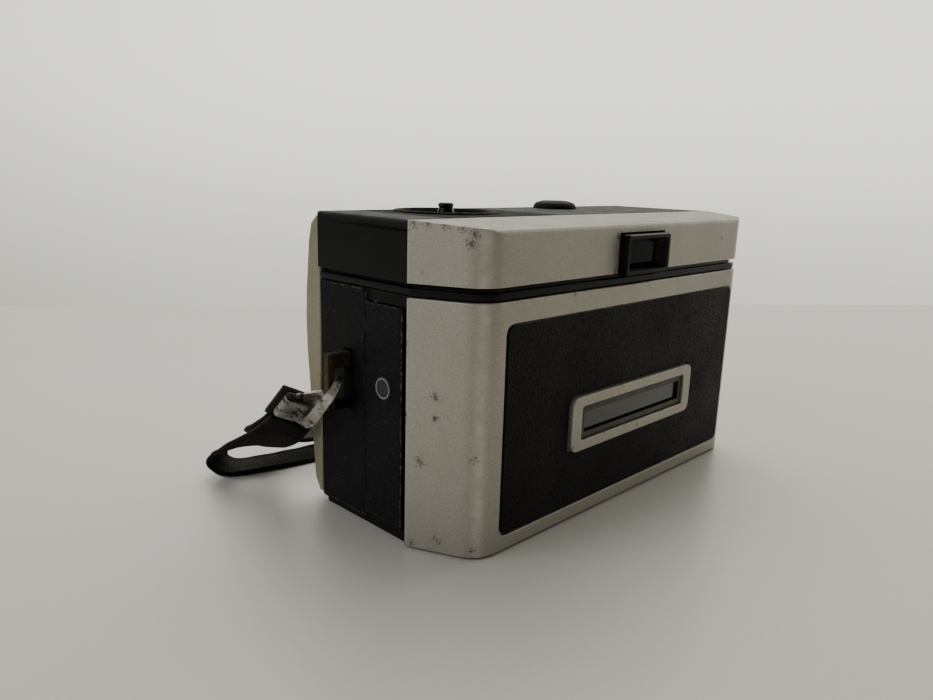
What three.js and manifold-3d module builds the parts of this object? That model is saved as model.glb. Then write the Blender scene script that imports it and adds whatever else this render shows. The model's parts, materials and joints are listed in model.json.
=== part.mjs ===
// A cartridge-loading viewfinder camera with a wrist strap, in millimetres, +Z up.
// +X is the strap and hinge side, +Y the rear with the film door, -Y the lens side.
// The origin is on the bottom plate, under the middle of the body.

import * as THREE from 'three';
import { mergeVertices } from 'three/addons/utils/BufferGeometryUtils.js';
import Module from 'manifold-3d';

const wasm = await Module();
wasm.setup();

// Driving dimensions
const GAP = 0.3; // between pieces that rest on each other
const WALL = 1.6; // moulded shell thickness
const HALF_WIDTH = 53.3; // top housing and door, from the middle to the side
const BODY_HALF_WIDTH = 52.0; // lower body, set back under the top housing
const FRONT_Y = -18.5; // front plane of the moulded body
const SEAM_Y = 10.2; // front edge of the silver shells
const REAR_Y = 24; // flat rear face
const REAR_HALF_WIDTH = 47; // flat rear face, up to the side chamfers
const REAR_CORNER_R = 6.5;
const TOP_Z = 62.4;
const TOP_REAR_Z = 61.5; // the silver top falls a little to the rear
const HOUSING_Z = 51.3; // bottom edge of the top housing
const DOOR_TOP_Z = 48.7;
const DOOR_BOTTOM_Z = 0.4;
const PLATE_TOP_Z = 0.8; // bottom plate thickness
const CASING_TOP_Z = 48.7;
const DECK = { bottom: 49, ridgeTop: 50.3, top: 51 }; // the black strip seen under the top housing
const LENS_X = -1.8; // optical axis
const LENS_Z = 25;
const GATE_SIDE = 28; // square picture
const TRIPOD = { x: -24, y: -12, r: 5.2, bore: 3.2 };
const HINGE = { x: 50.9, y: -1.4, barrel: 1.2, pin: 0.55, bore: 0.85 }; // vertical, inside the strap side
const FLASH = { x: 27.7, y: -7.3, r: 11.4 };
const BUTTON = { x: -15.6, y: -12.4, r: 5.5, top: 64.4, stem: 1.4, stemHole: 1.9, well: 5.8, wellFloor: 58.2 };
const BUTTON_SPRING = { low: 51.8, high: 58.2, radius: 2.6, wire: 0.3, turns: 5 };
const VIEW = { halfWidth: 6.9, bottom: 53, top: 59.6 }; // viewfinder opening in the front
const PIVOT = { pin: 0.55, bore: 0.85 }; // shutter lever and blade
const EYE = { x: -0.4, halfWidth: 8.3, bottom: 50.9, top: 59.3, front: 22.9, rear: 25.9 };
const THUMBWHEEL = { x: -43, y: -5.2, r: 11.3 };
const GEAR = { module: 0.8, driver: 14, driven: 22 };
const GEAR_DISTANCE = GEAR.module * (GEAR.driver + GEAR.driven) / 2;
const SPINDLE = { x: THUMBWHEEL.x + Math.sqrt(GEAR_DISTANCE ** 2 - 4.2 ** 2), y: THUMBWHEEL.y + 4.2 };
const WINDOW = { x: -1.8, z: 21.2, halfWidth: 20.2, halfHeight: 3.65 };
const SENSING_PIN = { x: 5, z: 43 };
const LUG_BAR = { x: 57.9, y: -7.5 };
const STRAP_WIDTH = 9;
const STRAP_THICKNESS = 1.2;

// Joining and cutting

function toSolid(geometry) {
  const bare = geometry.clone();
  bare.deleteAttribute('normal');
  bare.deleteAttribute('uv');
  const merged = mergeVertices(bare, 1e-4);
  return new wasm.Manifold(new wasm.Mesh({
    numProp: 3,
    vertProperties: new Float32Array(merged.attributes.position.array),
    triVerts: new Uint32Array(merged.index.array),
  }));
}

function toGeometry(solid) {
  const mesh = solid.getMesh();
  const geometry = new THREE.BufferGeometry();
  geometry.setAttribute('position', new THREE.BufferAttribute(mesh.vertProperties, 3));
  geometry.setIndex(new THREE.BufferAttribute(mesh.triVerts, 1));
  geometry.computeVertexNormals();
  return geometry;
}

const cut = (solid, ...tools) => tools.reduce((left, tool) => left.subtract(tool), solid);
const join = (solid, ...others) => others.reduce((sum, other) => sum.add(other), solid);

// Basic solids, placed by their limits

function block([x0, x1], [y0, y1], [z0, z1]) {
  const geometry = new THREE.BoxGeometry(x1 - x0, y1 - y0, z1 - z0);
  return toSolid(geometry.translate((x0 + x1) / 2, (y0 + y1) / 2, (z0 + z1) / 2));
}

function cylinderZ(x, y, r, z0, z1, sides = 24) {
  const geometry = new THREE.CylinderGeometry(r, r, z1 - z0, sides);
  return toSolid(geometry.rotateX(Math.PI / 2).translate(x, y, (z0 + z1) / 2));
}

function coneY(x, z, rFront, rRear, yFront, yRear, sides = 32) {
  const geometry = new THREE.CylinderGeometry(rRear, rFront, yRear - yFront, sides);
  return toSolid(geometry.translate(x, (yFront + yRear) / 2, z));
}

const cylinderY = (x, z, r, y0, y1, sides = 32) => coneY(x, z, r, r, y0, y1, sides);

function cylinderX(y, z, r, x0, x1, sides = 16) {
  const geometry = new THREE.CylinderGeometry(r, r, x1 - x0, sides);
  return toSolid(geometry.rotateZ(Math.PI / 2).translate((x0 + x1) / 2, y, z));
}

// corners are [u, v, radius], counter-clockwise; each radius becomes an arc of steps lines
function outline(corners, steps = 4) {
  const points = [];
  corners.forEach(([u, v, r = 0], i) => {
    const here = new THREE.Vector2(u, v);
    if (r <= 0) {
      points.push(here);
      return;
    }
    const before = new THREE.Vector2(...corners.at(i - 1)).sub(here).normalize();
    const after = new THREE.Vector2(...corners[(i + 1) % corners.length]).sub(here).normalize();
    const half = Math.acos(before.dot(after)) / 2;
    const middle = before.clone().add(after).normalize();
    const centre = here.clone().add(middle.multiplyScalar(r / Math.sin(half)));
    const start = here.clone().add(before.multiplyScalar(r / Math.tan(half))).sub(centre);
    const end = here.clone().add(after.multiplyScalar(r / Math.tan(half))).sub(centre);
    const turn = Math.atan2(start.cross(end), start.dot(end));
    for (let k = 0; k <= steps; k++) {
      points.push(start.clone().rotateAround(new THREE.Vector2(), turn * k / steps).add(centre));
    }
  });
  return points;
}

const AXES = {
  x: [new THREE.Vector3(0, 1, 0), new THREE.Vector3(0, 0, 1), new THREE.Vector3(1, 0, 0)],
  y: [new THREE.Vector3(1, 0, 0), new THREE.Vector3(0, 0, 1), new THREE.Vector3(0, -1, 0)],
  z: [new THREE.Vector3(1, 0, 0), new THREE.Vector3(0, 1, 0), new THREE.Vector3(0, 0, 1)],
};

// an outline in the plane across an axis, extruded along that axis from low to high
function prism(axis, points, low, high) {
  const shape = new THREE.Shape(points);
  const geometry = new THREE.ExtrudeGeometry(shape, { depth: high - low, bevelEnabled: false });
  geometry.applyMatrix4(new THREE.Matrix4().makeBasis(...AXES[axis]));
  const from = AXES[axis][2].clone().multiplyScalar(axis === 'y' ? -high : low);
  return toSolid(geometry.translate(from.x, from.y, from.z));
}

const roundedBox = (x0, x1, z0, z1, r) => outline([[x0, z0, r], [x1, z0, r], [x1, z1, r], [x0, z1, r]], 3);

// the plan of the camera's rear: chamfered sides and rounded rear corners, inset from the outside
const CHAMFER = new THREE.Vector2(REAR_Y - SEAM_Y, HALF_WIDTH - REAR_HALF_WIDTH).normalize();
function rearPlan(inset, frontY, sideX) {
  const atRear = REAR_HALF_WIDTH - inset * (1 - CHAMFER.y) / CHAMFER.x;
  const atSeam = HALF_WIDTH - inset / CHAMFER.x;
  const r = REAR_CORNER_R - inset;
  const side = sideX === undefined ? [] : [[sideX, SEAM_Y - 0.5]];
  const right = [...side.map(([x]) => [x, frontY, 0]), ...side, [atSeam, SEAM_Y, 0], [atRear, REAR_Y - inset, r]];
  const start = side.length ? right : [[atSeam, frontY, 0], [atRear, REAR_Y - inset, r]];
  return outline([...start, ...start.toReversed().map(([x, y, radius]) => [-x, y, radius ?? 0])]);
}

// a gear's outline, with one tooth centred on the angle start
function gearOutline(teeth, start) {
  const pitch = 2 * Math.PI / teeth;
  const root = GEAR.module * (teeth / 2 - 1.25);
  const tip = GEAR.module * (teeth / 2 + 0.8);
  const flank = [[root, -0.33], [tip, -0.12], [tip, 0.12], [root, 0.33]];
  const points = [];
  for (let k = 0; k < teeth; k++) {
    for (const [r, share] of flank) {
      const a = start + (k + share) * pitch;
      points.push(new THREE.Vector2(r * Math.cos(a), r * Math.sin(a)));
    }
  }
  return points;
}

const moved = (points, x, y) => points.map((p) => p.clone().add(new THREE.Vector2(x, y)));

// a flat band through stations of centre, half-width vector and half-thickness vector
function band(stations) {
  const points = [];
  const triangles = [];
  const quad = (a, b, c, d) => triangles.push(a, b, c, a, c, d);
  for (const { p, w, n } of stations) {
    for (const [s, t] of [[-1, -1], [1, -1], [1, 1], [-1, 1]]) {
      points.push(...p.clone().addScaledVector(w, s).addScaledVector(n, t).toArray());
    }
  }
  for (let i = 0; i + 1 < stations.length; i++) {
    for (let k = 0; k < 4; k++) {
      const next = (k + 1) % 4;
      quad(4 * i + k, 4 * i + next, 4 * i + 4 + next, 4 * i + 4 + k);
    }
  }
  const last = 4 * (stations.length - 1);
  quad(3, 2, 1, 0);
  quad(last, last + 1, last + 2, last + 3);
  const geometry = new THREE.BufferGeometry();
  geometry.setAttribute('position', new THREE.Float32BufferAttribute(points, 3));
  geometry.setIndex(triangles);
  return toSolid(geometry);
}

// stations along a smooth curve through routePoints, with the band's width turning between widths
function stations(routePoints, widths, halfWidth, halfThickness, count) {
  const curve = new THREE.CatmullRomCurve3(routePoints.map((p) => new THREE.Vector3(...p)), false, 'centripetal');
  const found = [];
  for (let i = 0; i <= count; i++) {
    const t = i / count;
    const place = t * (widths.length - 1);
    const k = Math.min(Math.floor(place), widths.length - 2);
    const along = curve.getTangent(t);
    const w = new THREE.Vector3(...widths[k]).lerp(new THREE.Vector3(...widths[k + 1]), place - k);
    w.addScaledVector(along, -w.dot(along)).normalize();
    const n = along.clone().cross(w);
    found.push({ p: curve.getPoint(t), w: w.multiplyScalar(halfWidth), n: n.multiplyScalar(halfThickness) });
  }
  return found;
}

// Body

function bodyCasing() {
  const inner = 49; // depth limit of the cuts made from the rear
  return cut(
    block([-BODY_HALF_WIDTH, BODY_HALF_WIDTH], [FRONT_Y, SEAM_Y - GAP], [PLATE_TOP_Z + GAP, CASING_TOP_Z]),
    block([-50.4, 50.4], [FRONT_Y - 1, -6.6], [2.8, 46.8]), // shutter space behind the fascia
    block([18, 48], [-5, 11], [5, 45]), // supply chamber
    block([-50.6, -21.6], [-5, 11], [5, 45]), // take-up chamber
    block([LENS_X - GATE_SIDE / 2, LENS_X + GATE_SIDE / 2], [-5, 11],
      [LENS_Z - GATE_SIDE / 2, LENS_Z + GATE_SIDE / 2]),
    cylinderY(LENS_X, LENS_Z, 11, -7, -4.5, 24),
    block([HINGE.x - 1.5, 54], [HINGE.y - 1.5, 11], [2.4, 46.6]), // room for the door flange
    cylinderZ(HINGE.x, HINGE.y, HINGE.bore, 1.5, 48.2, 12),
    cylinderZ(SPINDLE.x, SPINDLE.y, 2.6, 44, inner, 16),
    cylinderZ(BUTTON.x, BUTTON.y, BUTTON.stemHole, 46, inner, 16),
    cylinderY(SENSING_PIN.x, SENSING_PIN.z, 1.1, -7, 11, 12),
    block([-54, -50], [0.6, 4.4], [21, 28.6]), // latch slot
    cylinderZ(TRIPOD.x, TRIPOD.y, TRIPOD.r + GAP, 0, 6, 24),
  );
}

function bottomPlate() {
  const plan = outline([[-51.8, -18.3, 1.5], [51.8, -18.3, 1.5], [51.8, 9.7, 0.5], [-51.8, 9.7, 0.5]], 3);
  return cut(prism('z', plan, 0, PLATE_TOP_Z), cylinderZ(TRIPOD.x, TRIPOD.y, TRIPOD.r + GAP, -1, 2, 24));
}

function tripodBush() {
  const collar = cylinderZ(TRIPOD.x, TRIPOD.y, TRIPOD.r, 0, 5.4, 24);
  return cut(collar, cylinderZ(TRIPOD.x, TRIPOD.y, TRIPOD.bore, -1, 7, 16));
}

function midDeck() {
  return cut(
    join(
      prism('z', rearPlan(0.3, FRONT_Y + 0.3, 52.4), DECK.bottom, DECK.ridgeTop),
      prism('z', rearPlan(1.4, FRONT_Y + 1.4, 51.2), DECK.ridgeTop - 0.1, DECK.top),
    ),
    cylinderZ(SPINDLE.x, SPINDLE.y, 2.6, 48, 52, 16),
    cylinderZ(BUTTON.x, BUTTON.y, BUTTON.stemHole, 48, 52, 16),
  );
}

function frontFascia() {
  const crown = [[-20.3, 61.4], [-22, 59.9], [-23, 56.1], [-24.1, 46.6], [-24.5, 40], [-24.3, 32.7],
    [-23.6, 26], [-22.7, 12.7], [-22, 4.2], [-20.3, 1.4]];
  const back = FRONT_Y - GAP - 0.1;
  const side = [[back, 1.4], [back, 61.4], ...crown].map(([y, z]) => new THREE.Vector2(y, z));
  return cut(
    prism('x', side, -52, 52),
    cylinderY(LENS_X, LENS_Z, 15.2, -26, -18),
    block([LENS_X - VIEW.halfWidth, LENS_X + VIEW.halfWidth], [-26, -18], [VIEW.bottom, VIEW.top]),
  );
}

// Top housing

function topCover() {
  return cut(
    block([-HALF_WIDTH + 0.1, HALF_WIDTH - 0.1], [FRONT_Y, SEAM_Y - GAP], [HOUSING_Z, TOP_Z]),
    block([-51.6, 51.6], [FRONT_Y + WALL, 11], [51, TOP_Z - WALL]),
    cylinderZ(FLASH.x, FLASH.y, FLASH.r + GAP, 60, 63, 40),
    cylinderZ(BUTTON.x, BUTTON.y, BUTTON.well, BUTTON.wellFloor, 63, 24),
    block([LENS_X - VIEW.halfWidth, LENS_X + VIEW.halfWidth], [-20, -16], [VIEW.bottom, VIEW.top]),
    block([-55, -50], [-14, 3.6], [52.4, 56.4]), // thumbwheel slot
  );
}

function topRearShell() {
  const side = outline([[9, 51, 0], [REAR_Y, 51, 0], [REAR_Y, TOP_REAR_Z, 1.4], [9, TOP_Z + 0.07, 0]]);
  return cut(
    prism('z', rearPlan(0, SEAM_Y), HOUSING_Z, TOP_Z).intersect(prism('x', side, -60, 60)),
    prism('z', rearPlan(WALL, SEAM_Y - 1), 50, TOP_REAR_Z - WALL),
    block([EYE.x - EYE.halfWidth - GAP, EYE.x + EYE.halfWidth + GAP], [20, 26], [50, EYE.top + GAP]),
  );
}

function eyepieceBezel() {
  const body = block([EYE.x - EYE.halfWidth, EYE.x + EYE.halfWidth], [EYE.front, EYE.rear], [EYE.bottom, EYE.top]);
  const mouth = block([EYE.x - 7.4, EYE.x + 7.4], [24.6, 27], [52.1, 58.5]);
  return cut(body, mouth, block([EYE.x - 5.9, EYE.x + 6.4], [22, 27], [52.7, 58]));
}

const eyepieceLens = () => block([EYE.x - 5.6, EYE.x + 6.1], [23.4, 24], [53, 57.7]);

const viewfinderWindow = () => block([LENS_X - 6.5, LENS_X + 6.5], [-21, -20], [53.4, 59.2]);

function viewfinderTube() {
  return cut(block([-7.8, 5.2], [-16.6, 22.3], [51.4, 59.9]), block([-6.6, 4], [-17, 23], [52.6, 58.8]));
}

function flashBase() {
  return cut(
    cylinderZ(FLASH.x, FLASH.y, 9.2, DECK.top + GAP, 60.5, 32),
    cylinderZ(FLASH.x, FLASH.y, 7.8, 50, 58.9, 32),
    cylinderZ(FLASH.x, FLASH.y, 2.6, 58, 61, 16),
  );
}

function flashTurntable() {
  return cut(
    join(
      cylinderZ(FLASH.x, FLASH.y, FLASH.r, 60.9, 62.8, 40),
      cylinderZ(FLASH.x, FLASH.y, 2.2, 57.5, 61, 16),
    ),
    cylinderZ(FLASH.x, FLASH.y, FLASH.r - 1.3, 61.7, 63, 40),
  );
}

function flashContacts() {
  const arms = [0, 1].map((k) => block(k ? [-9.4, 9.4] : [-1.8, 1.8], k ? [-1.8, 1.8] : [-9.4, 9.4], [62, 62.4]));
  const plate = cut(join(cylinderZ(0, 0, 5, 62, 62.4, 24), ...arms), cylinderZ(0, 0, 2.1, 61, 63, 16));
  return plate.translate([FLASH.x, FLASH.y, 0]);
}

const flashPost = () => cylinderZ(FLASH.x, FLASH.y, 1.75, 62, 64.4, 16);

// Shutter button, its spring and the shutter

function shutterButton() {
  const { r, top, stem } = BUTTON;
  const capBottom = 60.2;
  const foot = 40.2; // rests on the release lever's end
  const profile = [[0, top], [r - 2.3, top - 0.1], [r - 0.6, top - 0.6], [r, top - 1.4], [r, capBottom],
    [stem, capBottom], [stem, foot], [0, foot]];
  const geometry = new THREE.LatheGeometry(profile.reverse().map(([r, z]) => new THREE.Vector2(r, z)), 24);
  return toSolid(geometry.rotateX(Math.PI / 2)).translate([BUTTON.x, BUTTON.y, 0]);
}

function buttonSpring() {
  const { low, high, radius, wire, turns } = BUTTON_SPRING;
  class Helix extends THREE.Curve {
    getPoint(t) {
      const a = 2 * Math.PI * turns * t;
      const z = low + (high - low) * t;
      return new THREE.Vector3(BUTTON.x + radius * Math.cos(a), BUTTON.y + radius * Math.sin(a), z);
    }
  }
  const section = new THREE.Shape(outline([[-wire, -wire, 0], [wire, -wire, 0], [wire, wire, 0], [-wire, wire, 0]]));
  return toSolid(new THREE.ExtrudeGeometry(section, { extrudePath: new Helix(), steps: 12 * turns }));
}

const LEVER = { pivotX: -9, z: 38.5, y: [-13.6, -11.2] };

function releaseLever() {
  const arm = prism('y', outline([[-20.6, 37.6, 0], [-4.4, 37.2, 0], [-4.4, 39.8, 0], [-20.6, 39.4, 0]]), ...LEVER.y);
  return cut(arm, cylinderY(LEVER.pivotX, LEVER.z, PIVOT.bore, -15, -10, 12));
}

const leverPin = () => cylinderY(LEVER.pivotX, LEVER.z, PIVOT.pin, -14.4, -6.9, 12);

const BLADE = { pivotX: 9, pivotZ: 36.6, y: [-11.6, -10.9] };

function shutterBlade() {
  const arm = new THREE.Vector2(LENS_X - BLADE.pivotX, LENS_Z - BLADE.pivotZ);
  const side = new THREE.Vector2(-arm.y, arm.x).normalize().multiplyScalar(1.6);
  const pivot = new THREE.Vector2(BLADE.pivotX, BLADE.pivotZ);
  const end = pivot.clone().add(arm);
  const corners = [pivot.clone().add(side), end.clone().add(side), end.clone().sub(side), pivot.clone().sub(side)];
  return cut(
    join(
      prism('y', corners, ...BLADE.y),
      cylinderY(LENS_X, LENS_Z, 5.2, ...BLADE.y, 24),
      cylinderY(BLADE.pivotX, BLADE.pivotZ, 2.2, ...BLADE.y, 16),
    ),
    cylinderY(BLADE.pivotX, BLADE.pivotZ, PIVOT.bore, -13, -10, 12),
  );
}

const bladePin = () => cylinderY(BLADE.pivotX, BLADE.pivotZ, PIVOT.pin, -12.2, -6.9, 12);

function shutterPlate() {
  return cut(
    block([-20, 16.4], [-10.4, -9.6], [10, 35.2]),
    cylinderY(LENS_X, LENS_Z, 3.2, -11, -9, 20),
    block([3, 17], [-11, -9], [33.2, 36]),
  );
}

// Lens

const LENS_TUBE = { outer: 9, inner: 6.4, front: -30.8, rear: -12.6 };

function lensMount() {
  return cut(
    join(cylinderY(LENS_X, LENS_Z, 14.9, -26.4, -19.2), cylinderY(LENS_X, LENS_Z, 11.4, -19.3, -12.6)),
    cylinderY(LENS_X, LENS_Z, 9.3, -27, -12),
  );
}

const lensTube = () => cut(
  cylinderY(LENS_X, LENS_Z, LENS_TUBE.outer, LENS_TUBE.front, LENS_TUBE.rear),
  cylinderY(LENS_X, LENS_Z, LENS_TUBE.inner, LENS_TUBE.front - 1, LENS_TUBE.rear + 1),
);

function apertureRing() {
  const flutes = 30;
  const points = [];
  for (let k = 0; k < flutes * 2; k++) {
    const a = Math.PI * (k + 0.5) / flutes;
    const r = k % 2 ? 13.2 : 12.7;
    points.push(new THREE.Vector2(r * Math.cos(a), r * Math.sin(a)));
  }
  const ring = prism('y', moved(points, LENS_X, LENS_Z), -30.4, -26.8);
  return cut(ring, cylinderY(LENS_X, LENS_Z, 9.3, -31, -26));
}

function retainingRing() {
  return cut(cylinderY(LENS_X, LENS_Z, 8.6, -32.2, -31.1), coneY(LENS_X, LENS_Z, 7.2, 5.2, -32.3, -31));
}

function lensElement(radius, frontY, rearY, bulge) {
  const profile = [[0, frontY], [radius * 0.6, frontY + bulge * 0.36], [radius, frontY + bulge],
    [radius, rearY - bulge], [radius * 0.6, rearY - bulge * 0.36], [0, rearY]];
  const geometry = new THREE.LatheGeometry(profile.map(([r, y]) => new THREE.Vector2(r, y)), 24);
  return toSolid(geometry).translate([LENS_X, 0, LENS_Z]);
}

// Film transport

function thumbwheel() {
  const ribs = 36;
  const points = [];
  for (let k = 0; k < ribs * 2; k++) {
    const a = Math.PI * k / ribs;
    const r = THUMBWHEEL.r - (k % 2 ? 0 : 0.5);
    points.push(new THREE.Vector2(r * Math.cos(a), r * Math.sin(a)));
  }
  const wheel = prism('z', moved(points, THUMBWHEEL.x, THUMBWHEEL.y), 52.8, 56);
  return cut(wheel, cylinderZ(THUMBWHEEL.x, THUMBWHEEL.y, 1.5, 52, 57, 16));
}

const MESH_ANGLE = Math.atan2(SPINDLE.y - THUMBWHEEL.y, SPINDLE.x - THUMBWHEEL.x);

function gear(teeth, { x, y }, start, bore) {
  const body = prism('z', moved(gearOutline(teeth, start), x, y), 56.4, 58.2);
  return cut(body, cylinderZ(x, y, bore, 56, 59, 16));
}

const advancePinion = () => gear(GEAR.driver, THUMBWHEEL, MESH_ANGLE, 1.5);

const spindleGear = () => gear(GEAR.driven, SPINDLE, MESH_ANGLE + Math.PI + Math.PI / GEAR.driven, 2.5);

const advanceShaft = () => cylinderZ(THUMBWHEEL.x, THUMBWHEEL.y, 1.2, DECK.top + GAP, 60, 16);

function takeUpSpindle() {
  const fork = [0, 1].map((k) => block(k ? [-3.6, 3.6] : [-0.9, 0.9], k ? [-0.9, 0.9] : [-3.6, 3.6], [38, 42.4]));
  return join(cylinderZ(0, 0, 2.2, 36.5, 59.2, 16), ...fork).translate([SPINDLE.x, SPINDLE.y, 0]);
}

function filmGate() {
  return cut(
    prism('y', roundedBox(LENS_X - 18, LENS_X + 18, LENS_Z - 17, LENS_Z + 17, 1.5), SEAM_Y, SEAM_Y + 1.4),
    block([LENS_X - GATE_SIDE / 2, LENS_X + GATE_SIDE / 2], [9, 13],
      [LENS_Z - GATE_SIDE / 2, LENS_Z + GATE_SIDE / 2]),
  );
}

const sensingPin = () => cylinderY(SENSING_PIN.x, SENSING_PIN.z, 0.75, -2, 13.6, 12);

// Door

const DOOR_LEATHER = { left: -43.6, right: 41.3, bottom: 3.6, top: 44.2 };

function doorShell() {
  const { left, right, bottom, top } = DOOR_LEATHER;
  return cut(
    prism('z', rearPlan(0, SEAM_Y), DOOR_BOTTOM_Z, DOOR_TOP_Z),
    prism('z', rearPlan(WALL, SEAM_Y - 1), DOOR_BOTTOM_Z + WALL, DOOR_TOP_Z - WALL),
    prism('y', roundedBox(left - GAP, right + GAP, bottom - GAP, top + GAP, 1.8), 23.3, 25),
    block([WINDOW.x - WINDOW.halfWidth, WINDOW.x + WINDOW.halfWidth], [20, 25],
      [WINDOW.z - WINDOW.halfHeight, WINDOW.z + WINDOW.halfHeight]),
  );
}

const windowOutline = (grow, r) => roundedBox(WINDOW.x - WINDOW.halfWidth - grow, WINDOW.x + WINDOW.halfWidth + grow,
  WINDOW.z - WINDOW.halfHeight - grow, WINDOW.z + WINDOW.halfHeight + grow, r);

const FRAME_WIDTH = { x: 3.3, z: 2.2 };

function windowFrame() {
  const outer = roundedBox(WINDOW.x - WINDOW.halfWidth - FRAME_WIDTH.x, WINDOW.x + WINDOW.halfWidth + FRAME_WIDTH.x,
    WINDOW.z - WINDOW.halfHeight - FRAME_WIDTH.z, WINDOW.z + WINDOW.halfHeight + FRAME_WIDTH.z, 1.8);
  return cut(prism('y', outer, 23.6, 24.9), prism('y', windowOutline(0, 0.6), 23, 26));
}

function doorLeatherette() {
  const { left, right, bottom, top } = DOOR_LEATHER;
  const opening = roundedBox(WINDOW.x - WINDOW.halfWidth - FRAME_WIDTH.x - GAP,
    WINDOW.x + WINDOW.halfWidth + FRAME_WIDTH.x + GAP,
    WINDOW.z - WINDOW.halfHeight - FRAME_WIDTH.z - GAP,
    WINDOW.z + WINDOW.halfHeight + FRAME_WIDTH.z + GAP, 2);
  return cut(prism('y', roundedBox(left, right, bottom, top, 1.5), 23.6, 24.1), prism('y', opening, 23, 26));
}

const windowBezel = () => cut(
  prism('y', windowOutline(-GAP, 0.4), 22.7, 24.4),
  prism('y', windowOutline(-1.4, 0.2), 22, 25),
);

const windowPane = () => prism('y', windowOutline(-1.7, 0.2), 22.9, 23.7);

// a strip of the door's inside, from the side wall to the chamfer, as seen from above on the +X side
const tongue = (points) => points.map(([x, y]) => new THREE.Vector2(x, y));

function doorFlange() {
  const plan = tongue([[50.2, -0.5], [51.6, -0.5], [51.6, 9.9], [50.9, 9.9], [48.5, 15.3], [47, 15.3], [49.9, 9.4],
    [50.2, 8.4]]);
  return cut(
    join(prism('z', plan, 2.8, 46.2), cylinderZ(HINGE.x, HINGE.y, HINGE.barrel, 2.8, 46.2, 16)),
    cylinderZ(HINGE.x, HINGE.y, HINGE.bore, 2, 47, 12),
  );
}

const hingePin = () => cylinderZ(HINGE.x, HINGE.y, HINGE.pin, 1.8, 47.9, 12);

function doorHook() {
  return prism('z', tongue([[-49.2, 4], [-47.8, 4], [-46.6, 15.3], [-48.5, 15.3], [-49.8, 12.4]].toReversed()), 19, 32);
}

function cartridgeSpring(x) {
  const arc = [];
  const steps = 6;
  for (let k = 0; k <= steps; k++) {
    const t = 2 * k / steps - 1;
    arc.push(new THREE.Vector2(x + 9 * t, 22 - 3.2 * (1 - t * t)));
  }
  const back = arc.toReversed().map((p) => p.clone().add(new THREE.Vector2(0, -0.5)));
  return prism('z', [...back.toReversed(), ...arc.toReversed()], 10, 16);
}

// Latch on the far side

function doorLatch() {
  return join(
    block([-53.3, -52.9], [0, 5], [22.6, 29]),
    block([-53, -50], [1, 4], [24, 28]),
    block([-50.3, -49.6], [-1, 6.4], [22.4, 30]),
  );
}

// Side coverings

const sideLeatherette = () => block([52.3, 52.7], [FRONT_Y + GAP, HINGE.y - 1.6], [1.6, 48.6]);

const flangeLeatherette = () => block([51.9, 52.4], [0.1, 7.9], [2.8, 46.2]);

function farLeatherette() {
  return cut(
    block([-52.7, -52.3], [FRONT_Y + GAP, 9.4], [1.6, 48.6]),
    block([-54, -51], [-0.6, 5.6], [19.4, 29.6]),
  );
}

const flangeRivet = () => cylinderX(2.9, 30.2, 2.3, 52.7, 53, 20);

// Lug, clip and strap

function strapLug() {
  return join(
    cut(block([53.2, 58.6], [-8.3, -6.7], [24.4, 35.8]), block([52, 57.2], [-10, -5], [26, 32.8])),
    block([53, 53.6], [-8.6, -6.4], [24.1, 36.1]),
  );
}

const CLIP = { top: [57.9, -10.3, 28.6], end: [58.4, -19.5, 19.8], endWidth: [0.81, -0.19, 0.56] };

function strapClip() {
  const ring = cut(
    cylinderZ(LUG_BAR.x, LUG_BAR.y, 2.9, 27.4, 31, 20),
    cylinderZ(LUG_BAR.x, LUG_BAR.y, 2.05, 27, 32, 20),
  );
  const top = new THREE.Vector3(...CLIP.top);
  const end = new THREE.Vector3(...CLIP.end);
  const along = end.clone().sub(top).normalize();
  const steps = 6;
  const leaf = [];
  for (let k = 0; k <= steps; k++) {
    const t = k / steps;
    const w = new THREE.Vector3(0, 0.3, 1).lerp(new THREE.Vector3(...CLIP.endWidth), t);
    w.addScaledVector(along, -w.dot(along)).normalize();
    const n = along.clone().cross(w);
    const p = top.clone().lerp(end, t);
    leaf.push({ p, w: w.multiplyScalar(1.6 + 3.2 * t), n: n.multiplyScalar(0.8 + 0.8 * t) });
  }
  return join(ring, band(leaf));
}

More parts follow.
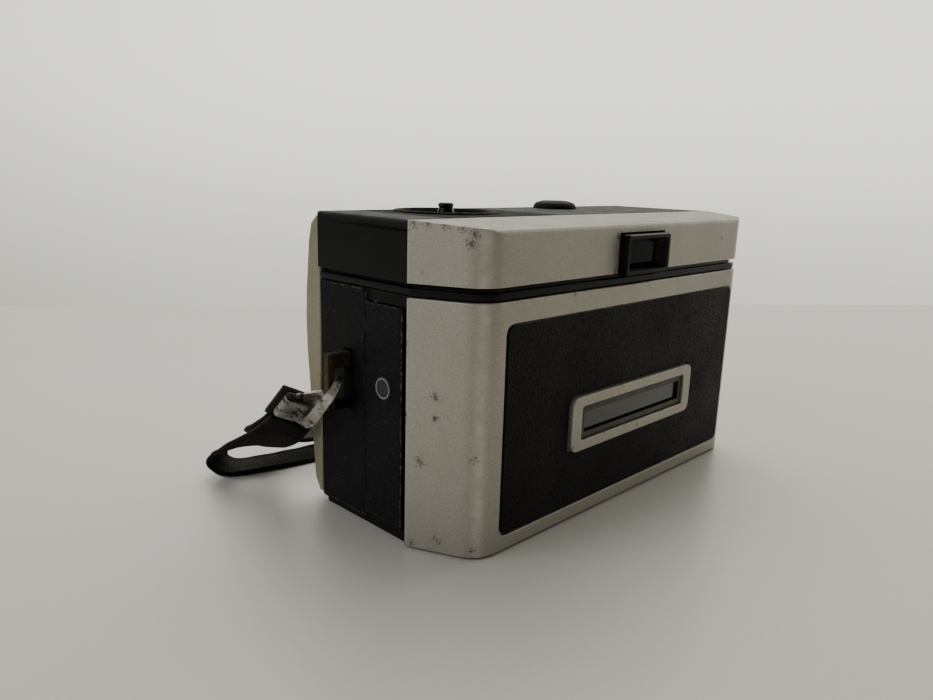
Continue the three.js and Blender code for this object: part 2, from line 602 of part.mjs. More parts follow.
// the strap's route, from the clip to its fold, along the table and back: centre, then width direction
const STRAP_ROUTE = [
  [58.6, -20.6, 18.7, 0.8, -0.22, 0.56],
  [58.9, -24, 15.6, 0.74, -0.34, 0.56],
  [59.5, -28.4, 12.9, 0.82, -0.14, 0.52],
  [60.1, -33, 11, 0.9, 0.04, 0.4],
  [60.6, -37.8, 9.2, 0.93, 0.2, 0.22],
  [61, -41.6, 7.6, 0.9, 0.38, 0.1],
  [61.4, -44.6, 6.5, 0.85, 0.52, 0],
  [62, -46.8, 5, 0.82, 0.57, 0],
  [62, -47.5, 3.4, 0.8, 0.6, 0],
  [61.1, -46.8, 1.9, 0.77, 0.64, 0],
  [59.2, -45.9, 1, 0.7, 0.71, 0],
  [56.8, -45, 0.75, 0.55, 0.83, 0],
  [53, -44, 0.75, 0.38, 0.92, 0],
  [47, -42.7, 0.75, 0.22, 0.97, 0],
  [37, -41.5, 0.75, 0.1, 1, 0],
  [24, -41, 0.75, 0, 1, 0],
  [10, -41.2, 0.75, 0, 1, 0],
  [-5, -41.8, 0.75, 0, 1, 0],
  [-18, -42.4, 0.75, 0, 1, 0],
  [-28, -42.8, 0.85, 0, 1, 0],
  [-33.2, -43, 1.9, 0, 1, 0],
  [-35.2, -43.1, 4.2, 0, 1, 0],
  [-33, -43.2, 6.2, 0, 1, 0],
  [-26, -43.3, 6, 0, 1, 0],
  [-16, -43.3, 4.6, 0, 1, 0],
  [-4, -43.2, 4.2, 0, 1, 0],
  [10, -43, 4.2, 0, 1, 0],
  [24, -43.4, 4.2, 0, 1, 0],
  [34, -44, 4.4, -0.06, 1, 0],
  [42, -44.6, 5.2, -0.16, 0.98, -0.05],
  [48.6, -43.6, 7, -0.34, 0.92, -0.14],
  [52.8, -41.8, 8.4, -0.5, 0.8, -0.25],
  [55.3, -38.2, 10, -0.65, 0.6, -0.35],
  [56.4, -33.6, 12.1, -0.76, 0.4, -0.45],
  [56.9, -28.8, 14.8, -0.8, 0.3, -0.52],
  [57.2, -24.6, 17.5, -0.8, 0.24, -0.55],
];

function strap() {
  const places = STRAP_ROUTE.map((row) => row.slice(0, 3));
  const widths = STRAP_ROUTE.map((row) => row.slice(3));
  return band(stations(places, widths, STRAP_WIDTH / 2, STRAP_THICKNESS / 2, 78));
}

// Finishes: colour, roughness, metalness
const FINISHES = {
  silver: [0xb4aca2, 0.42, 0.55],
  cream: [0xb8ae98, 0.5, 0.3],
  black: [0x141516, 0.45, 0],
  gloss_black: [0x0b0c0e, 0.2, 0],
  leatherette: [0x1b1d1f, 0.6, 0],
  chrome: [0xb9b6b2, 0.25, 1],
  rust: [0x5a3c1f, 0.7, 0.4],
  steel: [0x9a9a98, 0.35, 1],
  brass: [0xa8884a, 0.35, 1],
  glass: [0x9fa8ac, 0.08, 0],
  pane: [0x6f7472, 0.15, 0],
  bezel: [0x6a5a48, 0.4, 0.4],
  webbing: [0x0c0c0d, 0.9, 0],
  gear: [0xd8d4c8, 0.5, 0],
};

const group = new THREE.Group();

function add(finish, name, solid) {
  const [color, roughness, metalness] = FINISHES[finish];
  const mesh = new THREE.Mesh(toGeometry(solid), new THREE.MeshStandardMaterial({ color, roughness, metalness }));
  mesh.name = name;
  group.add(mesh);
}

add('black', 'body_casing', bodyCasing());
add('black', 'bottom_plate', bottomPlate());
add('brass', 'tripod_bush', tripodBush());
add('gloss_black', 'mid_deck', midDeck());
add('cream', 'front_fascia', frontFascia());
add('black', 'top_cover', topCover());
add('silver', 'top_rear_shell', topRearShell());
add('gloss_black', 'eyepiece_bezel', eyepieceBezel());
add('glass', 'eyepiece_lens', eyepieceLens());
add('glass', 'viewfinder_window', viewfinderWindow());
add('black', 'viewfinder_tube', viewfinderTube());
add('black', 'flash_socket_base', flashBase());
add('gloss_black', 'flash_turntable', flashTurntable());
add('chrome', 'flash_contact_spring', flashContacts());
add('gloss_black', 'flash_centre_post', flashPost());
add('black', 'shutter_button', shutterButton());
add('steel', 'button_spring', buttonSpring());
add('steel', 'release_lever', releaseLever());
add('steel', 'release_lever_pin', leverPin());
add('steel', 'shutter_blade', shutterBlade());
add('steel', 'shutter_blade_pin', bladePin());
add('steel', 'shutter_plate', shutterPlate());
add('black', 'lens_mount', lensMount());
add('black', 'lens_tube', lensTube());
add('gloss_black', 'aperture_ring', apertureRing());
add('chrome', 'lens_retaining_ring', retainingRing());
add('glass', 'front_lens', lensElement(6.1, -30.6, -27.8, 0.9));
add('glass', 'rear_lens', lensElement(6.1, -16.6, -14.4, 0.6));
add('gear', 'advance_thumbwheel', thumbwheel());
add('gear', 'advance_pinion', advancePinion());
add('steel', 'advance_shaft', advanceShaft());
add('gear', 'spindle_gear', spindleGear());
add('gear', 'take_up_spindle', takeUpSpindle());
add('steel', 'film_gate', filmGate());
add('steel', 'film_sensing_pin', sensingPin());
add('silver', 'door_shell', doorShell());
add('leatherette', 'door_leatherette', doorLeatherette());
add('silver', 'window_frame', windowFrame());
add('bezel', 'window_bezel', windowBezel());
add('pane', 'window_pane', windowPane());
add('black', 'door_flange', doorFlange());
add('steel', 'hinge_pin', hingePin());
add('black', 'door_hook', doorHook());
add('steel', 'cartridge_spring_strap_side', cartridgeSpring(33));
add('steel', 'cartridge_spring_far_side', cartridgeSpring(-33));
add('chrome', 'door_latch', doorLatch());
add('leatherette', 'side_leatherette', sideLeatherette());
add('leatherette', 'flange_leatherette', flangeLeatherette());
add('leatherette', 'far_side_leatherette', farLeatherette());
add('black', 'flange_rivet', flangeRivet());
add('rust', 'strap_lug', strapLug());
add('chrome', 'strap_clip', strapClip());
add('webbing', 'wrist_strap', strap());

export default group;
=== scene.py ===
"""The looks of a cartridge viewfinder camera with a wrist strap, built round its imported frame."""

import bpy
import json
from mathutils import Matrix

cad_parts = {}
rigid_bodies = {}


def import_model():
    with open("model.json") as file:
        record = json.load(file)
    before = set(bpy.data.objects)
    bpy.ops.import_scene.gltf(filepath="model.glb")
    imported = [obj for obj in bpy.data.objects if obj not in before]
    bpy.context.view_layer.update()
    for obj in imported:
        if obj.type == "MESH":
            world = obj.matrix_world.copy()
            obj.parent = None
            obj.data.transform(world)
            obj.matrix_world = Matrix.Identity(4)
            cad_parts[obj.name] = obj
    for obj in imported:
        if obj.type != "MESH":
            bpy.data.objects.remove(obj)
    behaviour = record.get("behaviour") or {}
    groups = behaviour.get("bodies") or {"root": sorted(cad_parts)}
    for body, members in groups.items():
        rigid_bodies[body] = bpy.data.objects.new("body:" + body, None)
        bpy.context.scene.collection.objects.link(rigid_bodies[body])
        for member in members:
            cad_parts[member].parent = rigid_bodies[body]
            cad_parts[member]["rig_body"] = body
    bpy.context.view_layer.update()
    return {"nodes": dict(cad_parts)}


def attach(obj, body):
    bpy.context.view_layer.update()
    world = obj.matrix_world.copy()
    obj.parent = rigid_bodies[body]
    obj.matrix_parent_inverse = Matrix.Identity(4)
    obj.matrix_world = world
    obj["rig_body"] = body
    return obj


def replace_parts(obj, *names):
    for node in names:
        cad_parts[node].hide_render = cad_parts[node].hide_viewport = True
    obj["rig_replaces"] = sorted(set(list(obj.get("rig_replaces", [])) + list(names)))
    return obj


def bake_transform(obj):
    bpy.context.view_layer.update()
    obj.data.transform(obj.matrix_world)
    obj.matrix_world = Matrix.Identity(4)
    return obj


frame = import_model()

import json
import math

import bmesh
import bpy
from mathutils import Matrix, Vector
from mathutils import noise

MM = 0.001
WELD = 2e-6
FLAT = math.radians(0.8)

# ---------------------------------------------------------------- camera

EYE = Vector((139.2, 110.6, 70.6)) * MM
AZIMUTH, ELEVATION, ROLL = 134.74, 13.29, 1.66
LENS = 28.92
SENSOR = 36.0


def make_camera():
    """The camera at the photograph's place and angle."""
    camera = bpy.data.objects.new("camera", bpy.data.cameras.new("camera"))
    bpy.context.scene.collection.objects.link(camera)
    a, e = math.radians(AZIMUTH), math.radians(ELEVATION)
    back = Vector((math.sin(a) * math.cos(e), -math.cos(a) * math.cos(e), math.sin(e)))
    turn = back.to_track_quat("Z", "Y").to_matrix().to_4x4() @ Matrix.Rotation(math.radians(ROLL), 4, "Z")
    camera.matrix_world = Matrix.Translation(EYE) @ turn
    camera.data.lens = LENS
    camera.data.sensor_width = SENSOR
    camera.data.clip_start = 0.01
    camera.data.clip_end = 20
    bpy.context.scene.camera = camera


make_camera()

# ---------------------------------------------------------------- mesh helpers


def new_piece(name, bm, node=None, body=None):
    """A mesh object from bm, which replaces a CAD node and rides on that node's body."""
    mesh = bpy.data.meshes.new(name)
    bm.to_mesh(mesh)
    bm.free()
    piece = bpy.data.objects.new(name, mesh)
    bpy.context.scene.collection.objects.link(piece)
    if node:
        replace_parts(piece, node)
    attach(piece, body or frame["nodes"][node]["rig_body"])
    return piece


def smooth(piece, angle=38):
    """Smooth shading with edges kept sharp beyond an angle, and normals that follow the large faces."""
    piece.data.polygons.foreach_set("use_smooth", [True] * len(piece.data.polygons))
    piece.data.set_sharp_from_angle(angle=math.radians(angle))
    weighted = piece.modifiers.new("normals", "WEIGHTED_NORMAL")
    weighted.keep_sharp = True
    return piece


def bevel_edges(bm, width, segments, chosen=None, angle=32):
    """Rounds the edges sharper than an angle that a test of middle point and run, in mm, picks."""
    def picked(edge):
        a, b = (vert.co / MM for vert in edge.verts)
        return chosen is None or chosen((a + b) / 2, a - b)

    edges = [
        e for e in bm.edges
        if len(e.link_faces) == 2 and e.calc_face_angle(0) > math.radians(angle) and picked(e)
    ]
    if edges:
        bmesh.ops.bevel(bm, geom=edges, offset=width * MM, segments=segments, profile=0.5,
                        affect="EDGES", clamp_overlap=True, harden_normals=False)


# ---------------------------------------------------------------- materials


class Finish:
    """A procedural material being put together. Lengths in it are millimetres in the row frame."""

    def __init__(self, name):
        self.material = bpy.data.materials.new(name)
        self.material.use_nodes = True
        self.tree = self.material.node_tree
        self.shader = self.tree.nodes["Principled BSDF"]
        place = self.tree.nodes.new("ShaderNodeTexCoord").outputs["Object"]
        self.place = self.add("VectorMath", place, None, None, 1000.0, operation="SCALE").outputs[0]
        self.geometry = self.add("NewGeometry")
        self.height = None

    def add(self, kind, *inputs, **settings):
        """A node of a kind, with its settings, and its inputs in order: values, sockets or None."""
        node = self.tree.nodes.new("ShaderNode" + kind)
        for name, value in settings.items():
            setattr(node, name, value)
        for socket, value in zip(node.inputs, inputs):
            self.put(socket, value)
        return node

    def put(self, socket, value):
        """Links a node's input to a socket or sets its value; None leaves it alone."""
        if value is None:
            return
        if isinstance(value, bpy.types.NodeSocket):
            self.tree.links.new(value, socket)
        else:
            socket.default_value = value

    def stretch(self, scale):
        """The place with each axis scaled."""
        return self.add("VectorMath", self.place, scale, operation="MULTIPLY").outputs[0]

    def noise(self, scale, detail=3.0, rough=0.55, stretch=None, distortion=0.0):
        """Cloudy noise from 0 to 1, with scale features to the millimetre."""
        node = self.add("TexNoise")
        self.put(node.inputs["Vector"], self.stretch(stretch) if stretch else self.place)
        self.put(node.inputs["Scale"], scale)
        self.put(node.inputs["Detail"], detail)
        self.put(node.inputs["Roughness"], rough)
        self.put(node.inputs["Distortion"], distortion)
        return node.outputs["Fac"]

    def cells(self, scale, feature="F1"):
        """Distance to the nearest cell's middle, or to its border, with scale cells to the millimetre."""
        node = self.add("TexVoronoi", feature=feature)
        self.put(node.inputs["Vector"], self.place)
        self.put(node.inputs["Scale"], scale)
        return node.outputs["Distance"]

    def span(self, value, low, high, to_low=0.0, to_high=1.0):
        """value from low to high, spread over to_low to to_high and held at the ends."""
        return self.add("MapRange", value, low, high, to_low, to_high, clamp=True).outputs[0]

    def math(self, operation, a, b=None):
        """One sum on one or two values."""
        return self.add("Math", a, b, operation=operation).outputs[0]

    def near(self, point, inner, outer):
        """1 within inner of a point and 0 beyond outer."""
        distance = self.add("VectorMath", self.place, point, operation="DISTANCE").outputs["Value"]
        return self.span(distance, inner, outer, 1.0, 0.0)

    def mix(self, factor, a, b):
        """Colour a where factor is 0 and b where it is 1."""
        node = self.add("Mix", data_type="RGBA")
        self.put(node.inputs["Factor"], factor)
        self.put(node.inputs[6], rgba(a))
        self.put(node.inputs[7], rgba(b))
        return node.outputs[2]

    def edges(self, radius, low=0.02, high=0.25):
        """1 at edges sharper than a curve of this radius."""
        bevel = self.add("Bevel", radius * MM, samples=4).outputs[0]
        turn = self.add("VectorMath", bevel, self.geometry.outputs["Normal"], operation="DOT_PRODUCT")
        return self.span(self.math("ABSOLUTE", turn.outputs["Value"]), 1 - low, 1 - high)

    def bump(self, height, depth):
        """Adds relief: height from 0 to 1, depth in millimetres."""
        node = self.add("Bump")
        self.put(node.inputs["Strength"], 1.0)
        self.put(node.inputs["Distance"], depth * MM)
        self.put(node.inputs["Height"], height)
        self.put(node.inputs["Normal"], self.height)
        self.height = node.outputs[0]

    def done(self, color, roughness, metallic=0.0, **others):
        """Sets the shader's inputs and gives back the material."""
        self.put(self.shader.inputs["Base Color"], rgba(color))
        self.put(self.shader.inputs["Roughness"], roughness)
        self.put(self.shader.inputs["Metallic"], metallic)
        for name, value in others.items():
            self.put(self.shader.inputs[name.replace("_", " ")], value)
        self.put(self.shader.inputs["Normal"], self.height)
        return self.material


def rgba(color):
    """A colour as a node input wants it; a grey may be one number."""
    if isinstance(color, (int, float)):
        color = (color, color, color)
    return (*color, 1.0) if isinstance(color, tuple) and len(color) == 3 else color


def champagne_paint(name, tone, stains, dents, roughness=0.45):
    """Satin metallic paint: fine flake, cloudy tone, scuffs, worn edges with dark chips, rust at places, and
    a painted highlight, partly rubbed paint, down the rounded rear corner.
    """
    f = Finish(name)
    flake = f.noise(3.2, 3.0, 0.7)
    cloud = f.noise(0.055, 4.0, 0.6)
    color = f.mix(f.span(flake, 0.3, 0.7), tuple(c * 0.76 for c in tone), tuple(c * 1.16 for c in tone))
    color = f.mix(f.span(cloud, 0.35, 0.7, 0.0, 0.35), color, tuple(c * 0.78 for c in tone))
    # painted highlight, partly rubbed paint: a lighter band down the rounded rear corner, broken up by noise
    from_above = f.stretch((1.0, 1.0, 0.0))
    corner = f.add("VectorMath", from_above, REAR_CORNER, operation="DISTANCE").outputs["Value"]
    handling = f.span(f.noise(0.5, 5.0, 0.7), 0.35, 0.65, 0.3, 0.9)
    rubbed = f.math("MULTIPLY", f.span(corner, 0.3, 1.7, 1.0, 0.0), handling)
    color = f.mix(f.math("MULTIPLY", rubbed, 0.6), color, (0.78, 0.76, 0.7))
    for point, reach in dents:
        worn = f.math("MULTIPLY", f.near(point, 0.0, reach), 0.3)
        worn = f.span(f.math("ADD", worn, f.noise(2.6, 6.0, 0.8)), 0.7, 0.76)
        color = f.mix(f.math("MULTIPLY", worn, 0.8), color, (0.045, 0.04, 0.036))
    edge = f.edges(0.7)
    color = f.mix(f.math("MULTIPLY", edge, 0.35), color, tuple(min(1.0, c * 1.5) for c in tone))
    chips = f.math("MULTIPLY", edge, f.span(f.noise(0.55, 6.0, 0.72), 0.56, 0.62))
    specks = f.span(f.cells(0.16), 0.1, 0.055)
    specks = f.math("MULTIPLY", specks, f.span(f.noise(0.09, 2.0), 0.5, 0.56))
    color = f.mix(f.math("MULTIPLY", specks, 0.55), color, (0.1, 0.085, 0.065))
    color = f.mix(chips, color, (0.05, 0.045, 0.04))
    rust = None
    for point, reach in stains:
        patch = f.math("MULTIPLY", f.near(point, 0.0, reach), 0.42)
        patch = f.span(f.math("ADD", patch, f.noise(1.1, 6.0, 0.78)), 0.74, 0.92)
        rust = patch if rust is None else f.math("MAXIMUM", rust, patch)
    if rust is not None:
        color = f.mix(f.math("MULTIPLY", rust, 0.85), color, (0.085, 0.05, 0.026))
    smear = f.noise(0.2, 5.0, 0.6, stretch=(1.0, 1.0, 0.25))
    rough = f.span(smear, 0.3, 0.75, roughness - 0.05, roughness + 0.1)
    rough = f.math("ADD", rough, f.math("MULTIPLY", chips, 0.3))
    scratch = f.noise(3.0, 2.0, 0.5, stretch=(0.06, 0.06, 2.5))
    f.bump(f.span(scratch, 0.62, 0.75), 0.006)
    f.bump(flake, 0.012)
    f.bump(f.math("SUBTRACT", 1.0, chips), 0.06)
    metallic = f.math("SUBTRACT", 0.62, f.math("MULTIPLY", chips, 0.6))
    return f.done(color, rough, metallic)


def grained_black(name, tone=(0.006, 0.0064, 0.0066), grain=2.2, depth=0.05, roughness=0.42, dust=0.12,
                  shine=0.3):
    """Black moulding with a fine cast grain, rubbed edges, dust in the grain and fingermarks."""
    f = Finish(name)
    pits = f.noise(grain, 3.0, 0.6)
    haze = f.noise(0.12, 4.0, 0.6)
    color = f.mix(f.span(haze, 0.35, 0.75, 0.0, dust), tone, (0.085, 0.08, 0.072))
    lint = f.math("MULTIPLY", f.span(f.cells(0.5), 0.13, 0.07), f.span(f.noise(0.3, 2.0), 0.5, 0.6))
    color = f.mix(f.math("MULTIPLY", lint, dust * 2.2), color, (0.22, 0.21, 0.19))
    edge = f.edges(0.4)
    rubbed = f.math("MULTIPLY", edge, f.span(f.noise(0.7, 5.0, 0.7), 0.4, 0.7, 0.15, 0.6))
    color = f.mix(rubbed, color, (0.075, 0.072, 0.066))
    rough = f.span(f.noise(0.35, 5.0, 0.65), 0.3, 0.7, roughness - 0.08, roughness + 0.12)
    f.bump(pits, depth)
    return f.done(color, rough, Specular_IOR_Level=shine)


def glossy_black(name, tone=(0.0045, 0.005, 0.0056), roughness=0.16, dust=0.1):
    """Polished black moulding with hairline scratches, haze and a little dust."""
    f = Finish(name)
    haze = f.noise(0.16, 5.0, 0.65)
    color = f.mix(f.span(haze, 0.4, 0.8, 0.0, dust), tone, (0.06, 0.058, 0.054))
    lint = f.math("MULTIPLY", f.span(f.cells(0.8), 0.1, 0.05), f.span(f.noise(0.4, 2.0), 0.52, 0.6))
    color = f.mix(f.math("MULTIPLY", lint, 0.3), color, (0.2, 0.19, 0.18))
    edge = f.edges(0.25)
    color = f.mix(f.math("MULTIPLY", edge, 0.25), color, (0.09, 0.088, 0.082))
    hair = f.span(f.noise(2.0, 3.0, 0.6, stretch=(0.08, 0.3, 2.2)), 0.6, 0.72)
    rough = f.span(haze, 0.3, 0.8, roughness, roughness + 0.18)
    rough = f.math("ADD", rough, f.math("MULTIPLY", hair, 0.1))
    f.bump(hair, 0.003)
    f.bump(f.noise(0.25, 2.0), 0.02)
    return f.done(color, rough, Specular_IOR_Level=0.14)


def pebbled(name, tone, scale, depth, dust, roughness=0.4):
    """Embossed leathercloth: rounded pebbles between sunk creases darkened with painted shade, dust caught on
    its crests and edges.
    """
    f = Finish(name)
    border = f.cells(scale, feature="DISTANCE_TO_EDGE")
    pebble = f.span(border, 0.0, 0.35)
    crease = f.span(border, 0.0, 0.09, 1.0, 0.0)
    fine = f.noise(scale * 3.2, 3.0, 0.6)
    fade = f.noise(0.05, 3.0, 0.6)
    color = f.mix(f.span(fade, 0.3, 0.75, 0.0, 0.5), tone, tuple(c * 1.4 for c in tone))
    # painted shade: the creases between the pebbles are darkened
    color = f.mix(f.math("MULTIPLY", crease, 0.45), color, tuple(c * 0.5 for c in tone))
    specks = f.math("MULTIPLY", f.span(f.cells(1.4), 0.17, 0.1), f.span(f.noise(0.5, 4.0, 0.7), 0.47, 0.56))
    edge = f.edges(0.12, 0.1, 0.4)
    worn = f.math("MULTIPLY", edge, f.span(f.noise(1.1, 5.0, 0.7), 0.45, 0.62))
    color = f.mix(f.math("MULTIPLY", specks, dust), color, (0.3, 0.29, 0.27))
    color = f.mix(f.math("MULTIPLY", worn, min(1.0, dust * 2.0)), color, (0.24, 0.23, 0.21))
    rough = f.span(fade, 0.3, 0.7, roughness - 0.06, roughness + 0.1)
    rough = f.math("ADD", rough, f.math("MULTIPLY", crease, 0.25))
    f.bump(pebble, depth)
    f.bump(fine, depth * 0.35)
    return f.done(color, rough, Specular_IOR_Level=0.14)


def plated(name, tone, rust_from, roughness=0.2, rust_to=0.08, places=()):
    """Nickel plate with scuffs, clouded reflections and rust that starts in patches."""
    f = Finish(name)
    cloud = f.noise(0.5, 5.0, 0.68)
    rust = f.span(f.noise(0.42, 6.0, 0.72), rust_from, rust_from + rust_to)
    for point, reach in places:
        near = f.math("MULTIPLY", f.near(point, 0.0, reach), 0.3)
        near = f.span(f.math("ADD", near, f.noise(1.4, 6.0, 0.75)), 0.64, 0.74)
        rust = f.math("MAXIMUM", rust, near)
    color = f.mix(f.span(cloud, 0.35, 0.7), tone, tuple(c * 0.7 for c in tone))
    dark = f.mix(f.noise(2.5, 3.0), (0.1, 0.055, 0.028), (0.055, 0.033, 0.02))
    color = f.mix(rust, color, dark)
    scratch = f.span(f.noise(3.0, 2.0, 0.5, stretch=(0.15, 0.15, 2.0)), 0.55, 0.7)
    rough = f.span(cloud, 0.3, 0.7, roughness, roughness + 0.22)
    rough = f.math("MAXIMUM", rough, f.math("MULTIPLY", rust, 0.75))
    f.bump(scratch, 0.01)
    f.bump(f.math("MULTIPLY", rust, f.noise(4.0, 4.0, 0.7)), 0.05)
    f.bump(f.noise(0.35, 2.0), 0.05)
    return f.done(color, rough, f.math("SUBTRACT", 1.0, f.math("MULTIPLY", rust, 0.85)))


def rusted(name):
    """Brown rusted steel with a little of its old plate left."""
    f = Finish(name)
    coarse = f.noise(0.9, 6.0, 0.7)
    fine = f.noise(5.0, 4.0, 0.7)
    color = f.mix(f.span(coarse, 0.35, 0.65), (0.028, 0.017, 0.008), (0.085, 0.055, 0.025))
    color = f.mix(f.span(fine, 0.55, 0.75), color, (0.015, 0.01, 0.006))
    plate = f.span(f.noise(0.7, 5.0, 0.65), 0.64, 0.72)
    color = f.mix(f.math("MULTIPLY", plate, 0.7), color, (0.3, 0.27, 0.22))
    f.bump(coarse, 0.08)
    f.bump(fine, 0.05)
    return f.done(color, f.span(fine, 0.3, 0.7, 0.42, 0.68), f.span(plate, 0.0, 1.0, 0.35, 0.8))


def turned_metal(name, tone, roughness=0.3, stretch=(1.0, 1.0, 1.0)):
    """Machined metal with fine tool marks and a little tarnish."""
    f = Finish(name)
    marks = f.noise(4.0, 3.0, 0.6, stretch=stretch)
    tarnish = f.noise(0.3, 5.0, 0.65)
    color = f.mix(f.span(tarnish, 0.4, 0.75, 0.0, 0.6), tone, tuple(c * 0.5 for c in tone))
    f.bump(marks, 0.01)
    return f.done(color, f.span(marks, 0.3, 0.7, roughness - 0.06, roughness + 0.14), 1.0)


def moulded(name, tone, roughness=0.45):
    """Pale moulded plastic, faintly mottled, greyed by handling."""
    f = Finish(name)
    cloud = f.noise(0.25, 4.0, 0.6)
    color = f.mix(f.span(cloud, 0.35, 0.75, 0.0, 0.6), tone, tuple(c * 0.72 for c in tone))
    f.bump(f.noise(5.0, 3.0, 0.6), 0.015)
    return f.done(color, f.span(cloud, 0.3, 0.7, roughness - 0.06, roughness + 0.1))


def optical(name, tone, roughness=0.04):
    """Dark coated glass or clear plastic seen against a black inside, with smears and a few scratches."""
    f = Finish(name)
    smear = f.noise(0.35, 5.0, 0.6)
    color = f.mix(f.span(smear, 0.4, 0.8, 0.0, 0.35), tone, tuple(c * 1.8 + 0.01 for c in tone))
    scratch = f.span(f.noise(4.0, 2.0, 0.5, stretch=(0.1, 1.0, 1.6)), 0.63, 0.72)
    rough = f.span(smear, 0.35, 0.8, roughness, roughness + 0.16)
    f.bump(scratch, 0.002)
    return f.done(color, rough, 0.0, Specular_IOR_Level=0.06, Coat_Weight=0.04)


def window_plastic(name):
    """Scratched grey clear plastic over the dark film chamber."""
    f = Finish(name)
    cloud = f.noise(0.14, 4.0, 0.6, stretch=(0.5, 1.0, 1.6))
    color = f.mix(f.span(cloud, 0.32, 0.7), (0.008, 0.0085, 0.008), (0.018, 0.018, 0.0165))
    hair = f.span(f.noise(3.0, 3.0, 0.6, stretch=(0.12, 1.0, 1.4), distortion=0.6), 0.58, 0.68)
    color = f.mix(f.math("MULTIPLY", hair, 0.3), color, (0.15, 0.15, 0.14))
    dust = f.math("MULTIPLY", f.span(f.cells(0.9), 0.12, 0.06), f.span(f.noise(0.5, 2.0), 0.48, 0.56))
    color = f.mix(f.math("MULTIPLY", dust, 0.55), color, (0.3, 0.3, 0.28))
    f.bump(hair, 0.003)
    f.bump(f.noise(0.1, 2.0), 0.05)
    return f.done(color, f.span(cloud, 0.3, 0.7, 0.14, 0.26), 0.0, Coat_Weight=0.3, Coat_Roughness=0.12)


def aged_lacquer(name):
    """Thin brown-grey lacquered trim, rubbed along its edges."""
    f = Finish(name)
    cloud = f.noise(0.4, 5.0, 0.65)
    color = f.mix(f.span(cloud, 0.35, 0.7), (0.046, 0.038, 0.029), (0.03, 0.025, 0.02))
    edge = f.math("MULTIPLY", f.edges(0.3), f.span(f.noise(0.8, 4.0), 0.35, 0.6))
    color = f.mix(f.math("MULTIPLY", edge, 0.7), color, (0.3, 0.25, 0.19))
    f.bump(f.noise(5.0, 3.0), 0.01)
    return f.done(color, f.span(cloud, 0.3, 0.7, 0.3, 0.45), 0.35)


RIB_PITCH, WARP_PITCH = 0.85, 0.75


def woven(name, tone):
    """Tight black webbing: ribs across the strap and warp threads along it, with painted shade in the weave's
    valleys, lint on the fuzz.

    The strap's mesh has a map: U in millimetres along it, V in millimetres across it.
    """
    f = Finish(name)
    uv = f.add("UVMap", uv_map="weave").outputs[0]
    split = f.add("SeparateXYZ", uv)
    ribs = f.math("SINE", f.math("MULTIPLY", split.outputs["X"], 2 * math.pi / RIB_PITCH))
    warp = f.math("SINE", f.math("MULTIPLY", split.outputs["Y"], 2 * math.pi / WARP_PITCH))
    both = f.math("MULTIPLY", ribs, warp)
    weave = f.span(f.math("ADD", f.math("MULTIPLY", ribs, 0.6), f.math("MULTIPLY", both, 0.5)), -1.1, 1.1)
    fuzz = f.noise(4.0, 4.0, 0.7)
    # painted shade: the valleys of the weave are darker than its crests
    color = f.mix(weave, tuple(c * 0.35 for c in tone), tone)
    color = f.mix(f.span(fuzz, 0.55, 0.8, 0.0, 0.5), color, tuple(c * 2.2 for c in tone))
    lint = f.math("MULTIPLY", f.span(f.cells(1.1), 0.12, 0.06), f.span(f.noise(0.5, 2.0), 0.5, 0.58))
    color = f.mix(f.math("MULTIPLY", lint, 0.5), color, (0.12, 0.115, 0.105))
    f.bump(weave, 0.12)
    f.bump(fuzz, 0.04)
    return f.done(color, f.span(fuzz, 0.3, 0.7, 0.62, 0.85), 0.0, Sheen_Weight=0.04, Specular_IOR_Level=0.1)


def table_top(name):
    """Pale, faintly glossy laminate with a fine tooth and a slow drift of tone."""
    f = Finish(name)
    drift = f.noise(0.004, 3.0, 0.5)
    tooth = f.noise(0.9, 4.0, 0.6)
    color = f.mix(f.span(drift, 0.35, 0.65), (0.6, 0.58, 0.54), (0.66, 0.64, 0.6))
    color = f.mix(f.span(tooth, 0.4, 0.8, 0.0, 0.25), color, (0.54, 0.52, 0.48))
    f.bump(tooth, 0.03)
    return f.done(color, f.span(tooth, 0.3, 0.7, 0.3, 0.42))


SILVER = (0.46, 0.43, 0.375)
